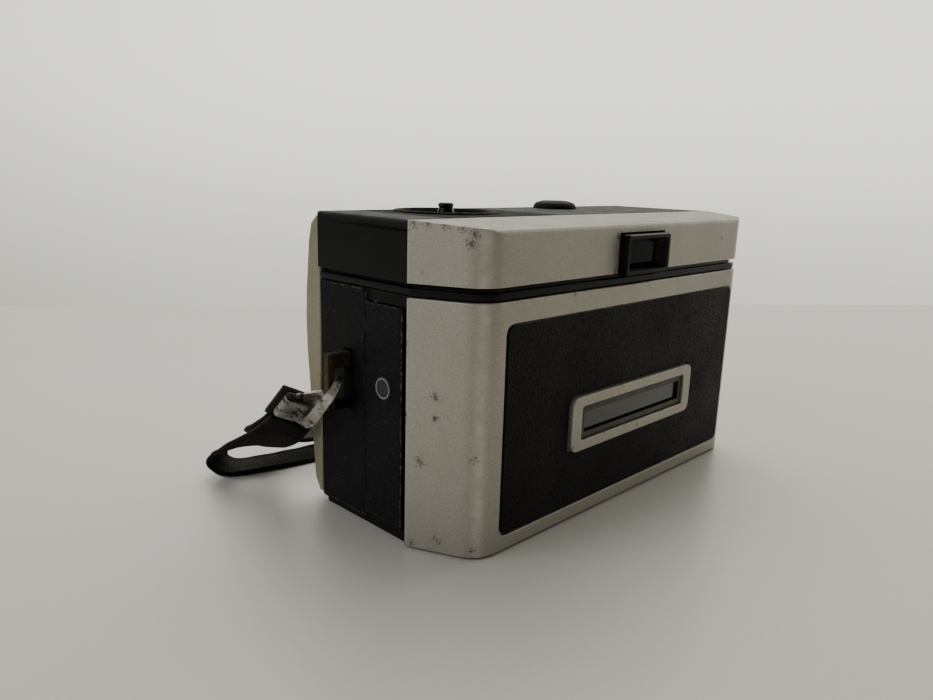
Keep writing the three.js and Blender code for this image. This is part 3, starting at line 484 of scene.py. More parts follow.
# the rounded rear corner that the painted highlight runs down
REAR_CORNER = (46.5, 22.9, 0.0)
SILVER_STAINS = (
    ((8.6, 24.0, 59.0), 2.6),
    ((9.2, 24.0, 51.5), 2.2),
    ((52.2, 12.8, 18.3), 2.6),
    ((50.0, 16.0, 3.0), 2.6),
)
SILVER_DENTS = (
    ((52.9, 11.2, 62.2), 2.4),
    ((51.7, 13.7, 62.0), 2.2),
    ((50.3, 16.6, 61.9), 2.2),
    ((48.9, 19.6, 61.5), 2.2),
    ((47.9, 21.4, 60.6), 2.2),
    ((48.2, 20.9, 58.8), 2.2),
    ((50.9, 15.6, 31.0), 2.0),
    ((50.9, 15.6, 27.0), 1.8),
    ((47.5, 22.5, 20.0), 2.0),
    ((47.4, 22.6, 2.0), 2.0),
    ((52.6, 11.5, 1.5), 1.8),
)
FINISHES = {
    "silver": champagne_paint("champagne_paint", SILVER, SILVER_STAINS, SILVER_DENTS),
    "cream": champagne_paint("cream_paint", (0.35, 0.32, 0.22), (), (), 0.45),
    "black": grained_black("black_moulding", roughness=0.6, dust=0.05, shine=0.12),
    "gloss_black": glossy_black("polished_black"),
    "leatherette": pebbled("side_leathercloth", (0.0185, 0.0215, 0.0225), 2.6, 0.045, 0.7),
    "chrome": plated("nickel_plate", (0.62, 0.6, 0.56), 0.52, places=(((59.7, -17.0, 21.6), 3.6),)),
    "rust": rusted("rusted_steel"),
    "steel": turned_metal("spring_steel", (0.5, 0.49, 0.47)),
    "brass": turned_metal("turned_brass", (0.62, 0.44, 0.2), 0.25),
    "glass": optical("coated_glass", (0.0025, 0.003, 0.0055)),
    "pane": window_plastic("window_plastic"),
    "bezel": aged_lacquer("aged_lacquer"),
    "webbing": woven("woven_strap", (0.004, 0.004, 0.0039)),
    "gear": moulded("moulded_gear", (0.62, 0.6, 0.54)),
}
REAR_LEATHER = pebbled("rear_leathercloth", (0.0032, 0.0032, 0.003), 1.5, 0.05, 0.1, 0.5)
COVER_PANEL = glossy_black("smooth_black_panel", (0.0028, 0.003, 0.0033), 0.32, 0.04)
BRIGHT_CONTACT = turned_metal("contact_leaf", (0.75, 0.74, 0.7), 0.3)
RIVET = grained_black("painted_rivet", (0.006, 0.0066, 0.007), 3.0, 0.05, 0.45, 0.4)
TAIL_WEAVE = pebbled("frayed_weave", (0.03, 0.03, 0.027), 1.8, 0.1, 0.3, 0.7)
COVER_PLATE = grained_black("smooth_top_plate", (0.005, 0.0052, 0.0056), 1.6, 0.03, 0.75, 0.06, 0.05)
DISH_BLACK = grained_black("dish_black", (0.003, 0.003, 0.0032), 2.5, 0.03, 0.6, 0.03, 0.04)
# painted shade: a darker copy of the silver paint, laid on the top shell's upward faces so they read darker
SHADED_TOP_PAINT = champagne_paint("shaded_top_paint", (0.29, 0.275, 0.245), SILVER_STAINS, SILVER_DENTS, 0.55)
RIVET_RIM = turned_metal("rivet_rim", (0.34, 0.35, 0.35), 0.5)


def slot_of(node):
    """The record's material slot of a CAD node."""
    return frame["nodes"][node].data.materials[0].name


def finish(piece, material=None):
    """Gives a piece its procedural finish, the one for the record's slot of the first node it replaces."""
    slot = slot_of(piece["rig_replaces"][0])
    piece.data.materials.clear()
    piece.data.materials.append(material or FINISHES[slot])
    return piece


# ---------------------------------------------------------------- wrist strap

STRAP_ROUTE = [
    (58.6, -20.6, 18.7, 0.8, -0.22, 0.56),
    (58.9, -24, 15.6, 0.74, -0.34, 0.56),
    (59.5, -28.4, 12.9, 0.82, -0.14, 0.52),
    (60.1, -33, 11, 0.9, 0.04, 0.4),
    (60.6, -37.8, 9.2, 0.93, 0.2, 0.22),
    (61, -41.6, 7.6, 0.9, 0.38, 0.1),
    (61.4, -44.6, 6.5, 0.85, 0.52, 0),
    (62, -46.8, 5, 0.82, 0.57, 0),
    (62, -47.5, 3.4, 0.8, 0.6, 0),
    (61.1, -46.8, 1.9, 0.77, 0.64, 0),
    (59.2, -45.9, 1, 0.7, 0.71, 0),
    (56.8, -45, 0.75, 0.55, 0.83, 0),
    (53, -44, 0.75, 0.38, 0.92, 0),
    (47, -42.7, 0.75, 0.22, 0.97, 0),
    (37, -41.5, 0.75, 0.1, 1, 0),
    (24, -41, 0.75, 0, 1, 0),
    (10, -41.2, 0.75, 0, 1, 0),
    (-5, -41.8, 0.75, 0, 1, 0),
    (-18, -42.4, 0.75, 0, 1, 0),
    (-28, -42.8, 0.85, 0, 1, 0),
    (-33.2, -43, 1.9, 0, 1, 0),
    (-35.2, -43.1, 4.2, 0, 1, 0),
    (-33, -43.2, 6.2, 0, 1, 0),
    (-26, -43.3, 6, 0, 1, 0),
    (-16, -43.3, 4.6, 0, 1, 0),
    (-4, -43.2, 4.2, 0, 1, 0),
    (10, -43, 4.2, 0, 1, 0),
    (24, -43.4, 4.2, 0, 1, 0),
    (34, -44, 4.4, -0.06, 1, 0),
    (42, -44.6, 5.2, -0.16, 0.98, -0.05),
    (48.6, -43.6, 7, -0.34, 0.92, -0.14),
    (52.8, -41.8, 8.4, -0.5, 0.8, -0.25),
    (55.3, -38.2, 10, -0.65, 0.6, -0.35),
    (56.4, -33.6, 12.1, -0.76, 0.4, -0.45),
    (56.9, -28.8, 14.8, -0.8, 0.3, -0.52),
    (57.2, -24.6, 17.5, -0.8, 0.24, -0.55),
]
STRAP_WIDTH = 9.0
STRAP_THICKNESS = 1.2


def strap_stations(step=0.7):
    """Places, width directions and distances along a smooth curve through the strap's route."""
    rows = [(Vector(row[:3]), Vector(row[3:])) for row in STRAP_ROUTE]
    fine = []
    for k in range(len(rows) - 1):
        p = [rows[min(max(k + j, 0), len(rows) - 1)][0] for j in (-1, 0, 1, 2)]
        out = (p[2] - p[0]) / 2
        into = (p[3] - p[1]) / 2
        for n in range(24):
            t = n / 24
            t2, t3 = t * t, t * t * t
            place = (2 * t3 - 3 * t2 + 1) * p[1] + (t3 - 2 * t2 + t) * out
            place += (-2 * t3 + 3 * t2) * p[2] + (t3 - t2) * into
            fine.append((place, rows[k][1].lerp(rows[k + 1][1], t)))
    fine.append(rows[-1])
    stations = []
    travelled = 0.0
    wanted = 0.0
    for (a, wa), (b, wb) in zip(fine, fine[1:]):
        length = (b - a).length
        while wanted <= travelled + length:
            t = (wanted - travelled) / length
            stations.append((a.lerp(b, t), wa.lerp(wb, t), wanted))
            wanted += step
        travelled += length
    return stations


def make_strap():
    """The woven strap: a flat band with rounded, slightly raised woven edges, along its route."""
    stations = strap_stations()
    half, thick = STRAP_WIDTH / 2, STRAP_THICKNESS / 2
    section = [(-half, 0.0), (-half + 0.15, thick * 0.8), (-half + 0.8, thick), (-half + 1.3, thick * 0.72)]
    section += [(s * (half - 1.3) / 3, thick * 0.76) for s in (-2, -1, 0, 1, 2)]
    section += [(-u, v) for u, v in reversed(section[:4])]
    section += [(u, -v) for u, v in reversed(section[1:-1])]
    bm = bmesh.new()
    uv = bm.loops.layers.uv.new("weave")
    rings = []
    for i, (place, width, run) in enumerate(stations):
        ahead = stations[min(i + 1, len(stations) - 1)][0] - stations[max(i - 1, 0)][0]
        ahead.normalize()
        w = (width - ahead * width.dot(ahead)).normalized()
        n = ahead.cross(w)
        ripple = 0.1 * math.sin(run * 0.9) + 0.12 * noise.noise(Vector((run * 0.25, 1.7, 0.0)))
        ring = []
        for u, v in section:
            sag = ripple * math.cos(u / half * 2.2) * 0.6
            ring.append(bm.verts.new((place + w * u + n * (v + sag)) * MM))
        rings.append(ring)
    count = len(section)
    for i in range(len(rings) - 1):
        for k in range(count):
            m = (k + 1) % count
            face = bm.faces.new((rings[i][k], rings[i][m], rings[i + 1][m], rings[i + 1][k]))
            across = (section[k][0], section[m][0], section[m][0], section[k][0])
            runs = (stations[i][2], stations[i][2], stations[i + 1][2], stations[i + 1][2])
            for loop, along_strap, over in zip(face.loops, runs, across):
                loop[uv].uv = (along_strap, over)
    bm.faces.new(list(reversed(rings[0])))
    bm.faces.new(rings[-1])
    bmesh.ops.recalc_face_normals(bm, faces=bm.faces)
    piece = finish(new_piece("woven_wrist_strap", bm, "wrist_strap"))
    piece.data.polygons.foreach_set("use_smooth", [True] * len(piece.data.polygons))


make_strap()

# ---------------------------------------------------------------- pieces refined from the CAD shapes


def cad_shape(node):
    """A CAD node's mesh with its flat faces whole again."""
    bm = bmesh.new()
    bm.from_mesh(frame["nodes"][node].data)
    bmesh.ops.remove_doubles(bm, verts=bm.verts, dist=WELD)
    bmesh.ops.dissolve_limit(bm, angle_limit=FLAT, verts=bm.verts, edges=bm.edges)
    return bm


def shaped(name, bm, node, *bevels, material=None, angle=38):
    """A piece from bm that replaces a node; each bevel is (width in mm, segments, test of place or None)."""
    for width, segments, chosen in bevels:
        bevel_edges(bm, width, segments, chosen)
    return finish(smooth(new_piece(name, bm, node), angle), material)


def refine(node, *bevels, material=None, angle=38):
    """The CAD node's shape with rounded edges."""
    return shaped(node + "_finished", cad_shape(node), node, *bevels, material=material, angle=angle)


SOFT = (0.3, 2, None)
SHARP = (0.25, 2, None)
FINE = (0.12, 2, None)


def body_pieces():
    """The casing, its plates and fascia, and the film chamber's small pieces."""
    refine("body_casing", (0.35, 2, lambda p, d: p.y < -16 or p.z < 3))
    refine("bottom_plate", FINE)
    refine("tripod_bush", FINE)
    refine("front_fascia", (0.6, 3, lambda p, d: abs(p.x) > 51.8), (0.3, 2, lambda p, d: abs(p.x) < 51))
    refine("film_gate", FINE)
    refine("hinge_pin")
    refine("film_sensing_pin", FINE)
    refine("far_side_leatherette", SHARP)
    refine("cartridge_spring_strap_side", FINE)
    refine("cartridge_spring_far_side", FINE)


def lens_pieces():
    """The lens, the viewfinder's glasses and tube, and the shutter."""
    for node in ("lens_mount", "lens_tube", "aperture_ring", "lens_retaining_ring"):
        refine(node, SHARP)
    for node in ("front_lens", "rear_lens", "viewfinder_window", "eyepiece_lens"):
        refine(node, FINE)
    for node in ("viewfinder_tube", "shutter_plate", "shutter_blade", "shutter_blade_pin"):
        refine(node, FINE)


def drive_pieces():
    """The film advance and the release."""
    for node in ("advance_pinion", "advance_shaft", "spindle_gear", "take_up_spindle", "advance_thumbwheel"):
        refine(node, FINE)
    for node in ("release_lever", "release_lever_pin"):
        refine(node, FINE)
    refine("button_spring")


body_pieces()
lens_pieces()
drive_pieces()


# ---------------------------------------------------------------- pieces shaped for looks


def solid_box(x, y, z):
    """A bmesh box between limits in millimetres."""
    bm = bmesh.new()
    bmesh.ops.create_cube(bm, size=1.0)
    for vert in bm.verts:
        vert.co = Vector([(lo + hi) / 2 + c * (hi - lo) for (lo, hi), c in zip((x, y, z), vert.co)]) * MM
    return bm


def lathe(profile, axis_place, axis="Z", sides=64):
    """A bmesh turned round an axis through a place; profile is (radius, distance along the axis) in mm."""
    bm = bmesh.new()
    rings = []
    for r, h in profile:
        ring = []
        for k in range(sides if r > 0 else 1):
            a = 2 * math.pi * k / sides
            spot = Vector((r * math.cos(a), r * math.sin(a), h))
            if axis == "X":
                spot = Vector((h, spot.x, spot.y))
            ring.append(bm.verts.new((spot + Vector(axis_place)) * MM))
        rings.append(ring)
    for low, high in zip(rings, rings[1:]):
        for k in range(sides):
            m = (k + 1) % sides
            corners = [low[k % len(low)], low[m % len(low)], high[m % len(high)], high[k % len(high)]]
            corners = list(dict.fromkeys(corners))
            if len(corners) > 2:
                bm.faces.new(corners)
    bmesh.ops.recalc_face_normals(bm, faces=bm.faces)
    return bm


def carved(bm, *cutters):
    """bm with the cutters' shapes taken out of it."""
    made = []
    for shape in (bm, *cutters):
        mesh = bpy.data.meshes.new("carving")
        shape.to_mesh(mesh)
        shape.free()
        thing = bpy.data.objects.new("carving", mesh)
        bpy.context.scene.collection.objects.link(thing)
        made.append(thing)
    for cutter in made[1:]:
        cut = made[0].modifiers.new("cut", "BOOLEAN")
        cut.operation = "DIFFERENCE"
        cut.solver = "EXACT"
        cut.object = cutter
    seen = made[0].evaluated_get(bpy.context.evaluated_depsgraph_get())
    result = bmesh.new()
    result.from_mesh(seen.to_mesh())
    seen.to_mesh_clear()
    for thing in made:
        mesh = thing.data
        bpy.data.objects.remove(thing)
        bpy.data.meshes.remove(mesh)
    bmesh.ops.remove_doubles(result, verts=result.verts, dist=WELD)
    return result


def join(bm, *parts):
    """Adds the parts' meshes to bm."""
    for part in parts:
        mesh = bpy.data.meshes.new("part")
        part.to_mesh(mesh)
        part.free()
        bm.from_mesh(mesh)
        bpy.data.meshes.remove(mesh)


def band(bm, first, second):
    """Faces between two closed rings of vertices."""
    for k in range(len(first)):
        m = (k + 1) % len(first)
        bm.faces.new((first[k], first[m], second[m], second[k]))


def paint_faces(piece, material, chosen):
    """Gives the faces that a test of centre and normal picks their own material."""
    piece.data.materials.append(material)
    index = len(piece.data.materials) - 1
    for face in piece.data.polygons:
        if chosen(face.center / MM, face.normal):
            face.material_index = index


COVER_SIDE = 53.1
PANEL_Y, PANEL_Z = (-19.6, 10.3), (51.0, 60.3)
PLATE_X = (9.9, 43.0)
SEAM = 0.3
SEAM_Y, SEAM_Z = (-19, 10), (62.1, 63)


def outer_edge_of_cover(p, d):
    """The cover's top rim at the sides, and its two upright front corners."""
    return abs(p.x) > COVER_SIDE and ((p.z > 62.3 and abs(d.z) < 0.1) or (p.y < -18.4 and abs(d.z) > 5))


def make_top_cover():
    """The black top cover: grained, with a smooth inset panel low on each side and seams across the top."""
    housing = cad_shape("top_cover")
    bevel_edges(housing, 1.3, 5, outer_edge_of_cover)
    bm = carved(
        housing,
        solid_box((COVER_SIDE, 54), PANEL_Y, PANEL_Z),
        solid_box((-54, -COVER_SIDE), PANEL_Y, PANEL_Z),
        solid_box((PLATE_X[1], PLATE_X[1] + SEAM), SEAM_Y, SEAM_Z),
        solid_box((PLATE_X[0] - SEAM, PLATE_X[0]), SEAM_Y, SEAM_Z),
        solid_box((-54, 54), (9.4, 10), (61.7, 63)),
    )
    cover = shaped("top_cover_finished", bm, "top_cover",
                   (0.05, 1, lambda p, d: abs(p.x) > 53 and 51.9 < p.z < 60.4))
    paint_faces(cover, COVER_PANEL,
                lambda p, n: 52.95 < abs(p.x) < 53.15 and abs(n.x) > 0.9 and 51.2 < p.z < 60.4)
    paint_faces(cover, COVER_PLATE, lambda p, n: PLATE_X[0] < p.x < PLATE_X[1] and p.z > 62.3 and n.z > 0.9)


def make_top_pieces():
    """The silver top shell with painted shade on its upward faces, the black strip under it, the shutter
    button, and the door's hook and latch.
    """
    shell = refine("top_rear_shell",
                   (0.35, 3, lambda p, d: p.z > 61.2 and p.y > 10.6 and abs(d.z) < 0.3),
                   (0.3, 2, lambda p, d: p.y > 10.6))
    # painted shade: the shell's upward faces take the darker copy of the paint
    paint_faces(shell, SHADED_TOP_PAINT, lambda p, n: n.z > 0.95)
    refine("mid_deck", (0.15, 2, None), angle=50)
    refine("shutter_button", SOFT, angle=60, material=FINISHES["black"])
    refine("door_hook", FINE)
    refine("door_latch", FINE)


FLASH = (27.7, -7.3)
LEAF_MIDDLES = (-4.3, 4.3)
LEAF_HALF_LENGTH = 1.9
LEAF_HALF_WIDTH = 1.5
LEAF_Z = (61.95, 62.2)
LEAF_TURN = -42


def make_flash_socket():
    """The flash socket: a dished black turntable with two bright contact leaves and a grooved centre post."""
    x, y = FLASH
    shaped("flash_base_finished", cad_shape("flash_socket_base"), "flash_socket_base", FINE)
    dish = [(0, 61.75), (8.9, 61.75), (9.4, 62.0)]
    rim = [(9.8, 62.66), (10.3, 62.8), (11.0, 62.76), (11.36, 62.4), (11.38, 61.0)]
    ring = lathe(dish + rim + [(0, 61.0)], (x, y, 0), sides=96)
    shaped("flash_turntable_finished", ring, "flash_turntable", angle=50, material=DISH_BLACK)
    crown = [(0, 64.35), (1.3, 64.35), (1.62, 64.15), (1.72, 63.8)]
    groove = [(1.5, 63.5), (1.5, 63.1), (1.72, 62.9)]
    post = lathe(crown + groove + [(1.75, 62.0), (0, 62.0)], (x, y, 0), sides=40)
    shaped("flash_post_finished", post, "flash_centre_post", angle=50)
    leaves = bmesh.new()
    turn = Matrix.Rotation(math.radians(LEAF_TURN), 4, "Z")
    for middle in LEAF_MIDDLES:
        along = (middle - LEAF_HALF_LENGTH, middle + LEAF_HALF_LENGTH)
        leaf = solid_box(along, (-LEAF_HALF_WIDTH, LEAF_HALF_WIDTH), LEAF_Z)
        leaf.transform(Matrix.Translation(Vector((x, y, 0)) * MM) @ turn)
        join(leaves, leaf)
    shaped("flash_contacts_finished", leaves, "flash_contact_spring", (0.1, 2, None), material=BRIGHT_CONTACT)


EYEPIECE = (-0.4, 50.9, 59.3)


def make_eyepiece():
    """The eyepiece surround: a raised glossy frame with a sloped funnel that narrows to the glass."""
    x, low, high = EYEPIECE
    loops = [
        (8.3, low, high, 22.95), (8.3, low, high, 25.5), (8.0, low + 0.1, high - 0.25, 25.88),
        (7.3, low + 0.9, high - 0.9, 25.88), (7.05, low + 1.1, high - 1.1, 25.6),
        (5.3, low + 1.5, high - 2.1, 23.6), (5.2, low + 1.6, high - 2.2, 22.95),
    ]
    bm = bmesh.new()
    rings = []
    for half, z0, z1, y in loops:
        corners = rounded_outline(x - half, x + half, z0, z1, 0.55)
        rings.append([bm.verts.new(Vector((u, y, v)) * MM) for u, v in corners])
    for first, second in zip(rings, rings[1:] + rings[:1]):
        band(bm, first, second)
    bmesh.ops.recalc_face_normals(bm, faces=bm.faces)
    shaped("eyepiece_finished", bm, "eyepiece_bezel", angle=28)


def rounded_outline(x0, x1, z0, z1, r, steps=5):
    """Points round a rectangle with rounded corners."""
    points = []
    left, right, low, high = x0 + r, x1 - r, z0 + r, z1 - r
    for cx, cz, turn in ((right, high, 0), (left, high, 90), (left, low, 180), (right, low, 270)):
        for k in range(steps + 1):
            a = math.radians(turn + 90 * k / steps)
            points.append((cx + r * math.cos(a), cz + r * math.sin(a)))
    return points


def make_door_pieces():
    """The silver film door with its leathercloth panel and film window."""
    refine("door_shell",
           (0.4, 3, lambda p, d: p.y > 10.5 and (p.z > 48 or p.z < 1.2 or p.y > 23)),
           (0.25, 2, lambda p, d: p.y > 10.5))
    refine("door_leatherette", SHARP, material=REAR_LEATHER)
    refine("window_frame", (0.55, 4, lambda p, d: p.y > 24.5), (0.2, 2, None))
    refine("window_bezel", SOFT)
    refine("window_pane", SOFT)
    refine("door_flange", FINE)


SKIN_FRONT, SKIN_FOLD, SKIN_BACK = -18.2, -2.7, 7.9
SKIN_FACE = 52.62
SKIN_THICKNESS = 0.3
# the dimple pressed in round the lug: its middle and half size along Y and Z, and its depth
DIMPLE_Y, DIMPLE_Z, DIMPLE_DEPTH = (-6.6, 3.4), (30.0, 7.4), 0.14
RIVET_PLACE = (0, 2.9, 30.2)


def skin_edge(y):
    """Bottom and top of the side leathercloth at a distance behind the front."""
    if y < SKIN_FOLD:
        return 1.6, 48.6
    return 2.8, 46.2


def make_side_skin():
    """The leathercloth of the strap side: one soft sheet from the body across the hinge to the door."""
    bm = bmesh.new()
    columns = []
    ys = [SKIN_FRONT + 0.5 * k for k in range(32)] + [SKIN_FOLD - 0.02, SKIN_FOLD + 0.02]
    ys += [SKIN_FOLD + 0.3 + 0.5 * k for k in range(20)] + [SKIN_BACK - 0.4, SKIN_BACK]
    rows = 90
    for y in ys:
        low, high = skin_edge(y)
        column = []
        for k in range(rows + 1):
            z = low + (high - low) * k / rows
            rim = min(y - SKIN_FRONT, SKIN_BACK - y, z - low, high - z)
            turned_in = 0.3 * max(0.0, 1 - rim / 0.35) ** 2
            swell = 0.06 * noise.noise(Vector((y * 0.18, z * 0.12, 3.1)))
            reach = ((y - DIMPLE_Y[0]) / DIMPLE_Y[1]) ** 2 + ((z - DIMPLE_Z[0]) / DIMPLE_Z[1]) ** 2
            dimple = DIMPLE_DEPTH * math.exp(-((reach - 0.55) / 0.3) ** 2)
            x = SKIN_FACE + swell - turned_in - dimple
            column.append(bm.verts.new(Vector((x, y, z)) * MM))
        columns.append(column)
    for left, right in zip(columns, columns[1:]):
        for k in range(rows):
            bm.faces.new((left[k], right[k], right[k + 1], left[k + 1]))
    bmesh.ops.solidify(bm, geom=bm.faces, thickness=SKIN_THICKNESS * MM)
    bmesh.ops.recalc_face_normals(bm, faces=bm.faces)
    mesh = bpy.data.meshes.new("side_leathercloth")
    bm.to_mesh(mesh)
    bm.free()
    skin = bpy.data.objects.new("side_leathercloth", mesh)
    bpy.context.scene.collection.objects.link(skin)
    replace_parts(skin, "side_leatherette", "flange_leatherette")
    finish(skin)
    mesh.polygons.foreach_set("use_smooth", [True] * len(mesh.polygons))
    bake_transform(skin)
    middle = [(0, 53.0), (0.35, 53.02), (0.5, 52.86), (1.5, 52.82)]
    raised_rim = [(1.75, 52.98), (2.05, 53.0), (2.3, 52.8), (2.3, 52.5)]
    rivet = lathe(middle + raised_rim + [(0, 52.5)], RIVET_PLACE, "X", 48)
    rivet = shaped("flange_rivet_finished", rivet, "flange_rivet", angle=50, material=RIVET)
    paint_faces(rivet, RIVET_RIM, lambda p, n: 1.75 < (p - Vector(RIVET_PLACE)).yz.length < 2.1)


def ribbon(rows, thickness):
    """A bmesh band through rows of (centre, width vector), with the width vector half the band's width."""
    bm = bmesh.new()
    rings = []
    for i, (centre, width) in enumerate(rows):
        centre, width = Vector(centre), Vector(width)
        ahead = Vector(rows[min(i + 1, len(rows) - 1)][0]) - Vector(rows[max(i - 1, 0)][0])
        normal = ahead.cross(width).normalized() * thickness / 2
        corners = (-width - normal, width - normal, width + normal, -width + normal)
        rings.append([bm.verts.new((centre + corner) * MM) for corner in corners])
    for first, second in zip(rings, rings[1:]):
        band(bm, first, second)
    bm.faces.new(list(reversed(rings[0])))
    bm.faces.new(rings[-1])
    bmesh.ops.recalc_face_normals(bm, faces=bm.faces)
    return bm


def smooth_rows(rows, steps=6):
    """Rows of (centre, width vector) filled in along a smooth curve."""
    rows = [(Vector(c), Vector(w)) for c, w in rows]
    filled = []
    for k in range(len(rows) - 1):
        near = [rows[min(max(k + j, 0), len(rows) - 1)] for j in (-1, 0, 1, 2)]
        for n in range(steps):
            t = n / steps
            t2, t3 = t * t, t * t * t
            outer = (-t3 / 2 + t2 - t / 2, (t3 - t2) / 2)
            weights = (outer[0], 1.5 * t3 - 2.5 * t2 + 1, -1.5 * t3 + 2 * t2 + t / 2, outer[1])
            filled.append(tuple(sum((w * row[i] for w, row in zip(weights, near)), Vector()) for i in (0, 1)))
    filled.append(rows[-1])
    return filled


# the strap clip's own directions: along it to the lug, across it, and out of its open face
CLIP_END = Vector((58.4, -19.5, 19.8))
CLIP_UP = Vector((-0.048, 0.709, 0.703)).normalized()
CLIP_ACROSS = Vector((-0.839, 0.354, -0.414)).normalized()
CLIP_OUT = Vector((0.542, 0.61, -0.578)).normalized()
CLIP_SHEET = 0.4
CLIP_ROLL = 1.15
TONGUE_ACROSS = Vector((-0.59, 0.59, -0.54)).normalized()


def on_clip(across, up, out):
    """The place at distances in the clip's own directions."""
    return CLIP_END + CLIP_ACROSS * across + CLIP_UP * up + CLIP_OUT * out


def clip_rows(rows):
    """Rows of (across, up, out, half width across, half width out) as places and width vectors."""
    return [(on_clip(a, u, o), CLIP_ACROSS * wa + CLIP_OUT * wo) for a, u, o, wa, wo in rows]


def clip_sheet():
    """The clip's folded section as (across, out): a back leaf, a rolled edge and a front leaf."""
    section = [(4.3, -1.1), (2.0, -CLIP_ROLL), (-0.5, -CLIP_ROLL), (-3.0, -CLIP_ROLL)]
    for k in range(9):
        a = math.radians(-90 - 180 * k / 8)
        section.append((-3.5 + CLIP_ROLL * math.cos(a), CLIP_ROLL * math.sin(a)))
    section += [(-2.4, 1.12), (-0.2, 1.02), (1.9, 1.0)]
    return section


def make_clip():
    """The strap's nickel clip: a sheet folded round the strap's end, with a tongue that hooks the lug."""
    section = clip_sheet()
    bm = bmesh.new()
    heights = (0.0, 0.3, 2.0, 4.0, 5.6, 6.2)
    grid = []
    for k, up in enumerate(heights):
        line = []
        for a, o in section:
            rise = up if o < 0.9 else up * (1.0 - 0.1 * max(0.0, a + 0.2) / 2)
            line.append(bm.verts.new(on_clip(a, rise, o) * MM))
        grid.append(line)
    for low, high in zip(grid, grid[1:]):
        for k in range(len(section) - 1):
            bm.faces.new((low[k], low[k + 1], high[k + 1], high[k]))
    bmesh.ops.solidify(bm, geom=bm.faces, thickness=CLIP_SHEET * MM)
    back_leaf = clip_rows([
        (0.6, 5.4, -1.1, 3.7, 0), (1.4, 7.6, -1.0, 2.6, 0),
        (2.0, 9.4, -0.8, 1.7, 0), (2.3, 11.0, -0.2, 1.2, 0),
    ])
    tongue = [
        ((57.0, -18.6, 18.3), TONGUE_ACROSS * 1.25),
        ((57.8, -14.3, 20.5), TONGUE_ACROSS * 1.20),
        ((58.7, -10.0, 23.9), TONGUE_ACROSS * 1.10),
        ((58.9, -6.6, 27.0), TONGUE_ACROSS * 0.95),
        ((57.7, -5.9, 29.0), TONGUE_ACROSS * 0.80),
        ((56.8, -6.1, 30.2), TONGUE_ACROSS * 0.70),
        ((55.4, -7.4, 30.7), TONGUE_ACROSS * 0.55),
    ]
    join(bm, ribbon(smooth_rows(back_leaf), 0.5), ribbon(smooth_rows(tongue, 8), 0.7))
    bmesh.ops.recalc_face_normals(bm, faces=bm.faces)
    shaped("strap_clip_finished", bm, "strap_clip", (0.14, 2, None), angle=50)


def make_lug():
    """The rusty lug: a bent strip that stands out of a black plate on the leathercloth, with its lower arm
    painted black as shade.
    """
    bm = cad_shape("strap_lug")
    for place, normal in (((0, 0, 26.0), (0, 0, 1)), ((57.2, 0, 0), (1, 0, 0)), ((53.6, 0, 0), (1, 0, 0))):
        whole = bm.verts[:] + bm.edges[:] + bm.faces[:]
        bmesh.ops.bisect_plane(bm, geom=whole, plane_co=Vector(place) * MM, plane_no=normal)
    lug = shaped("strap_lug_finished", bm, "strap_lug", (0.1, 1, None), angle=50)
    # painted shade: the lower arm, below z 26 and inside x 57.2, takes the dull black of the plate
    paint_faces(lug, DISH_BLACK, lambda p, n: p.x < 53.65 or (p.z < 26.0 and p.x < 57.2))


def make_strap_tail():
    """The strap's cut end, which comes out of the clip behind the strap."""
    rows = [(on_clip(-1.5, u, -1.95), CLIP_ACROSS * 4.0) for u in (6.2, 4, 2, 0, -1.8, -3.4)]
    tail = new_piece("strap_tail", ribbon(smooth_rows(rows, 4), 1.0), body="strap")
    tail.data.materials.append(TAIL_WEAVE)
    bevelled = tail.modifiers.new("rounding", "BEVEL")
    bevelled.width = 0.2 * MM
    bevelled.segments = 2
    smooth(tail, 50)


make_top_cover()
make_top_pieces()
make_flash_socket()
make_eyepiece()
make_door_pieces()
make_side_skin()
make_clip()
make_lug()
make_strap_tail()

# ---------------------------------------------------------------- stage and light

WALL_AWAY = Vector((-0.583, -0.813, 0.0))
TABLE_EDGE = 0.229


def make_stage():
    """A pale table whose far edge meets the light of the plain room behind it."""
    side = Vector((-WALL_AWAY.y, WALL_AWAY.x, 0))
    table = bmesh.new()
    far, near, half = WALL_AWAY * TABLE_EDGE, WALL_AWAY * -3.0, side * 4.0
    corners = (far + half, far - half, near - half, near + half)
    table.faces.new([table.verts.new(corner) for corner in corners])
    bmesh.ops.recalc_face_normals(table, faces=table.faces)
    mesh = bpy.data.meshes.new("table")
    table.to_mesh(mesh)
    table.free()
    if mesh.polygons[0].normal.z < 0:
        mesh.flip_normals()
    thing = bpy.data.objects.new("table", mesh)
    bpy.context.scene.collection.objects.link(thing)
    mesh.materials.append(table_top("pale_laminate"))


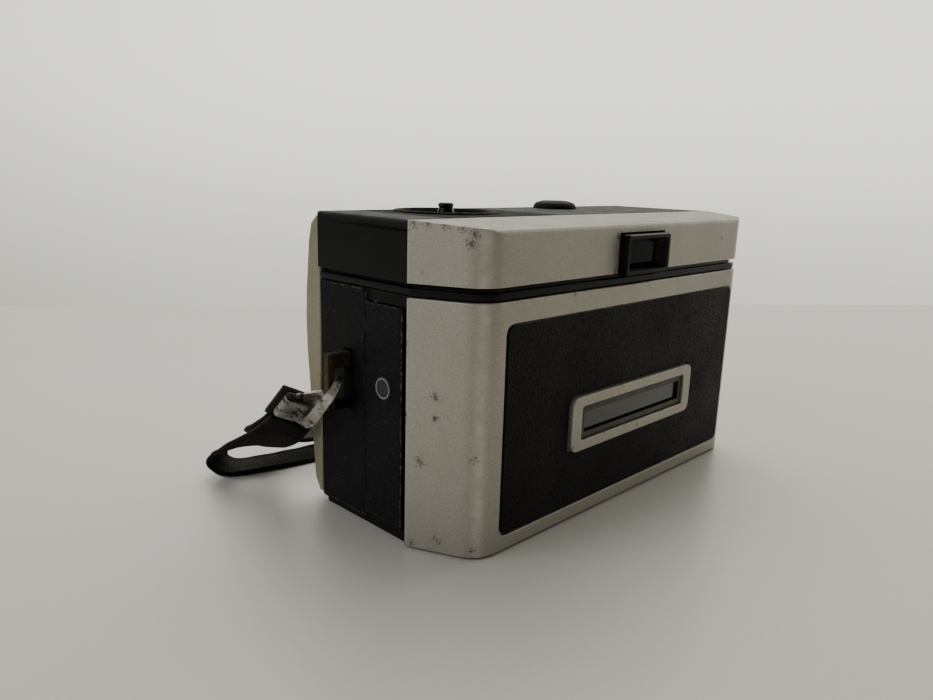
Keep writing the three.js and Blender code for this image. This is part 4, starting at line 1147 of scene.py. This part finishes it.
def soft_light(name, place, aim, size, power, color):
    """A square area light at a place in millimetres, aimed at a point."""
    light = bpy.data.lights.new(name, "AREA")
    light.shape = "RECTANGLE"
    light.size, light.size_y = (s * MM for s in size)
    light.energy = power
    light.color = color
    lamp = bpy.data.objects.new(name, light)
    bpy.context.scene.collection.objects.link(lamp)
    turn = (Vector(place) - Vector(aim)).to_track_quat("Z", "Y").to_matrix().to_4x4()
    lamp.matrix_world = Matrix.Translation(Vector(place) * MM) @ turn


ROOM_DARK = 0.15
ROOM_BRIGHT = (0.9, 1.75)
ROOM_GLOW = Vector((-0.87, -0.493, 0.0))
ROOM_TINT = (1.0, 0.995, 0.87)


def make_room():
    """Light from a pale wall beyond the table, from a dimmer ceiling, and little from behind the camera."""
    world = bpy.data.worlds.new("room")
    world.use_nodes = True
    tree = world.node_tree
    direction = tree.nodes.new("ShaderNodeTexCoord").outputs["Generated"]

    def span(value, low, high, to_low, to_high):
        node = tree.nodes.new("ShaderNodeMapRange")
        node.interpolation_type = "SMOOTHSTEP"
        tree.links.new(value, node.inputs["Value"])
        limits = (low, high, to_low, to_high)
        for name, limit in zip(("From Min", "From Max", "To Min", "To Max"), limits):
            if isinstance(limit, float):
                node.inputs[name].default_value = limit
            else:
                tree.links.new(limit, node.inputs[name])
        return node.outputs["Result"]

    toward = tree.nodes.new("ShaderNodeVectorMath")
    toward.operation = "DOT_PRODUCT"
    tree.links.new(direction, toward.inputs[0])
    toward.inputs[1].default_value = ROOM_GLOW
    split = tree.nodes.new("ShaderNodeSeparateXYZ")
    tree.links.new(direction, split.inputs[0])
    wall = span(split.outputs["Z"], -0.2, 0.16, *ROOM_BRIGHT)
    level = span(toward.outputs["Value"], 0.1, 0.95, ROOM_DARK, wall)
    tint = tree.nodes.new("ShaderNodeVectorMath")
    tint.operation = "SCALE"
    tint.inputs[0].default_value = ROOM_TINT
    tree.links.new(level, tint.inputs["Scale"])
    background = tree.nodes["Background"]
    tree.links.new(tint.outputs[0], background.inputs["Color"])
    background.inputs["Strength"].default_value = 1.0
    bpy.context.scene.world = world


make_stage()
make_room()
soft_light("ceiling_light", (-250, -250, 900), (0, 0, 0), (700, 700), 4.8, (1.0, 0.985, 0.95))
soft_light("left_fill", (500, -150, 330), (30, 0, 30), (500, 400), 1.25, (0.97, 0.985, 1.0))
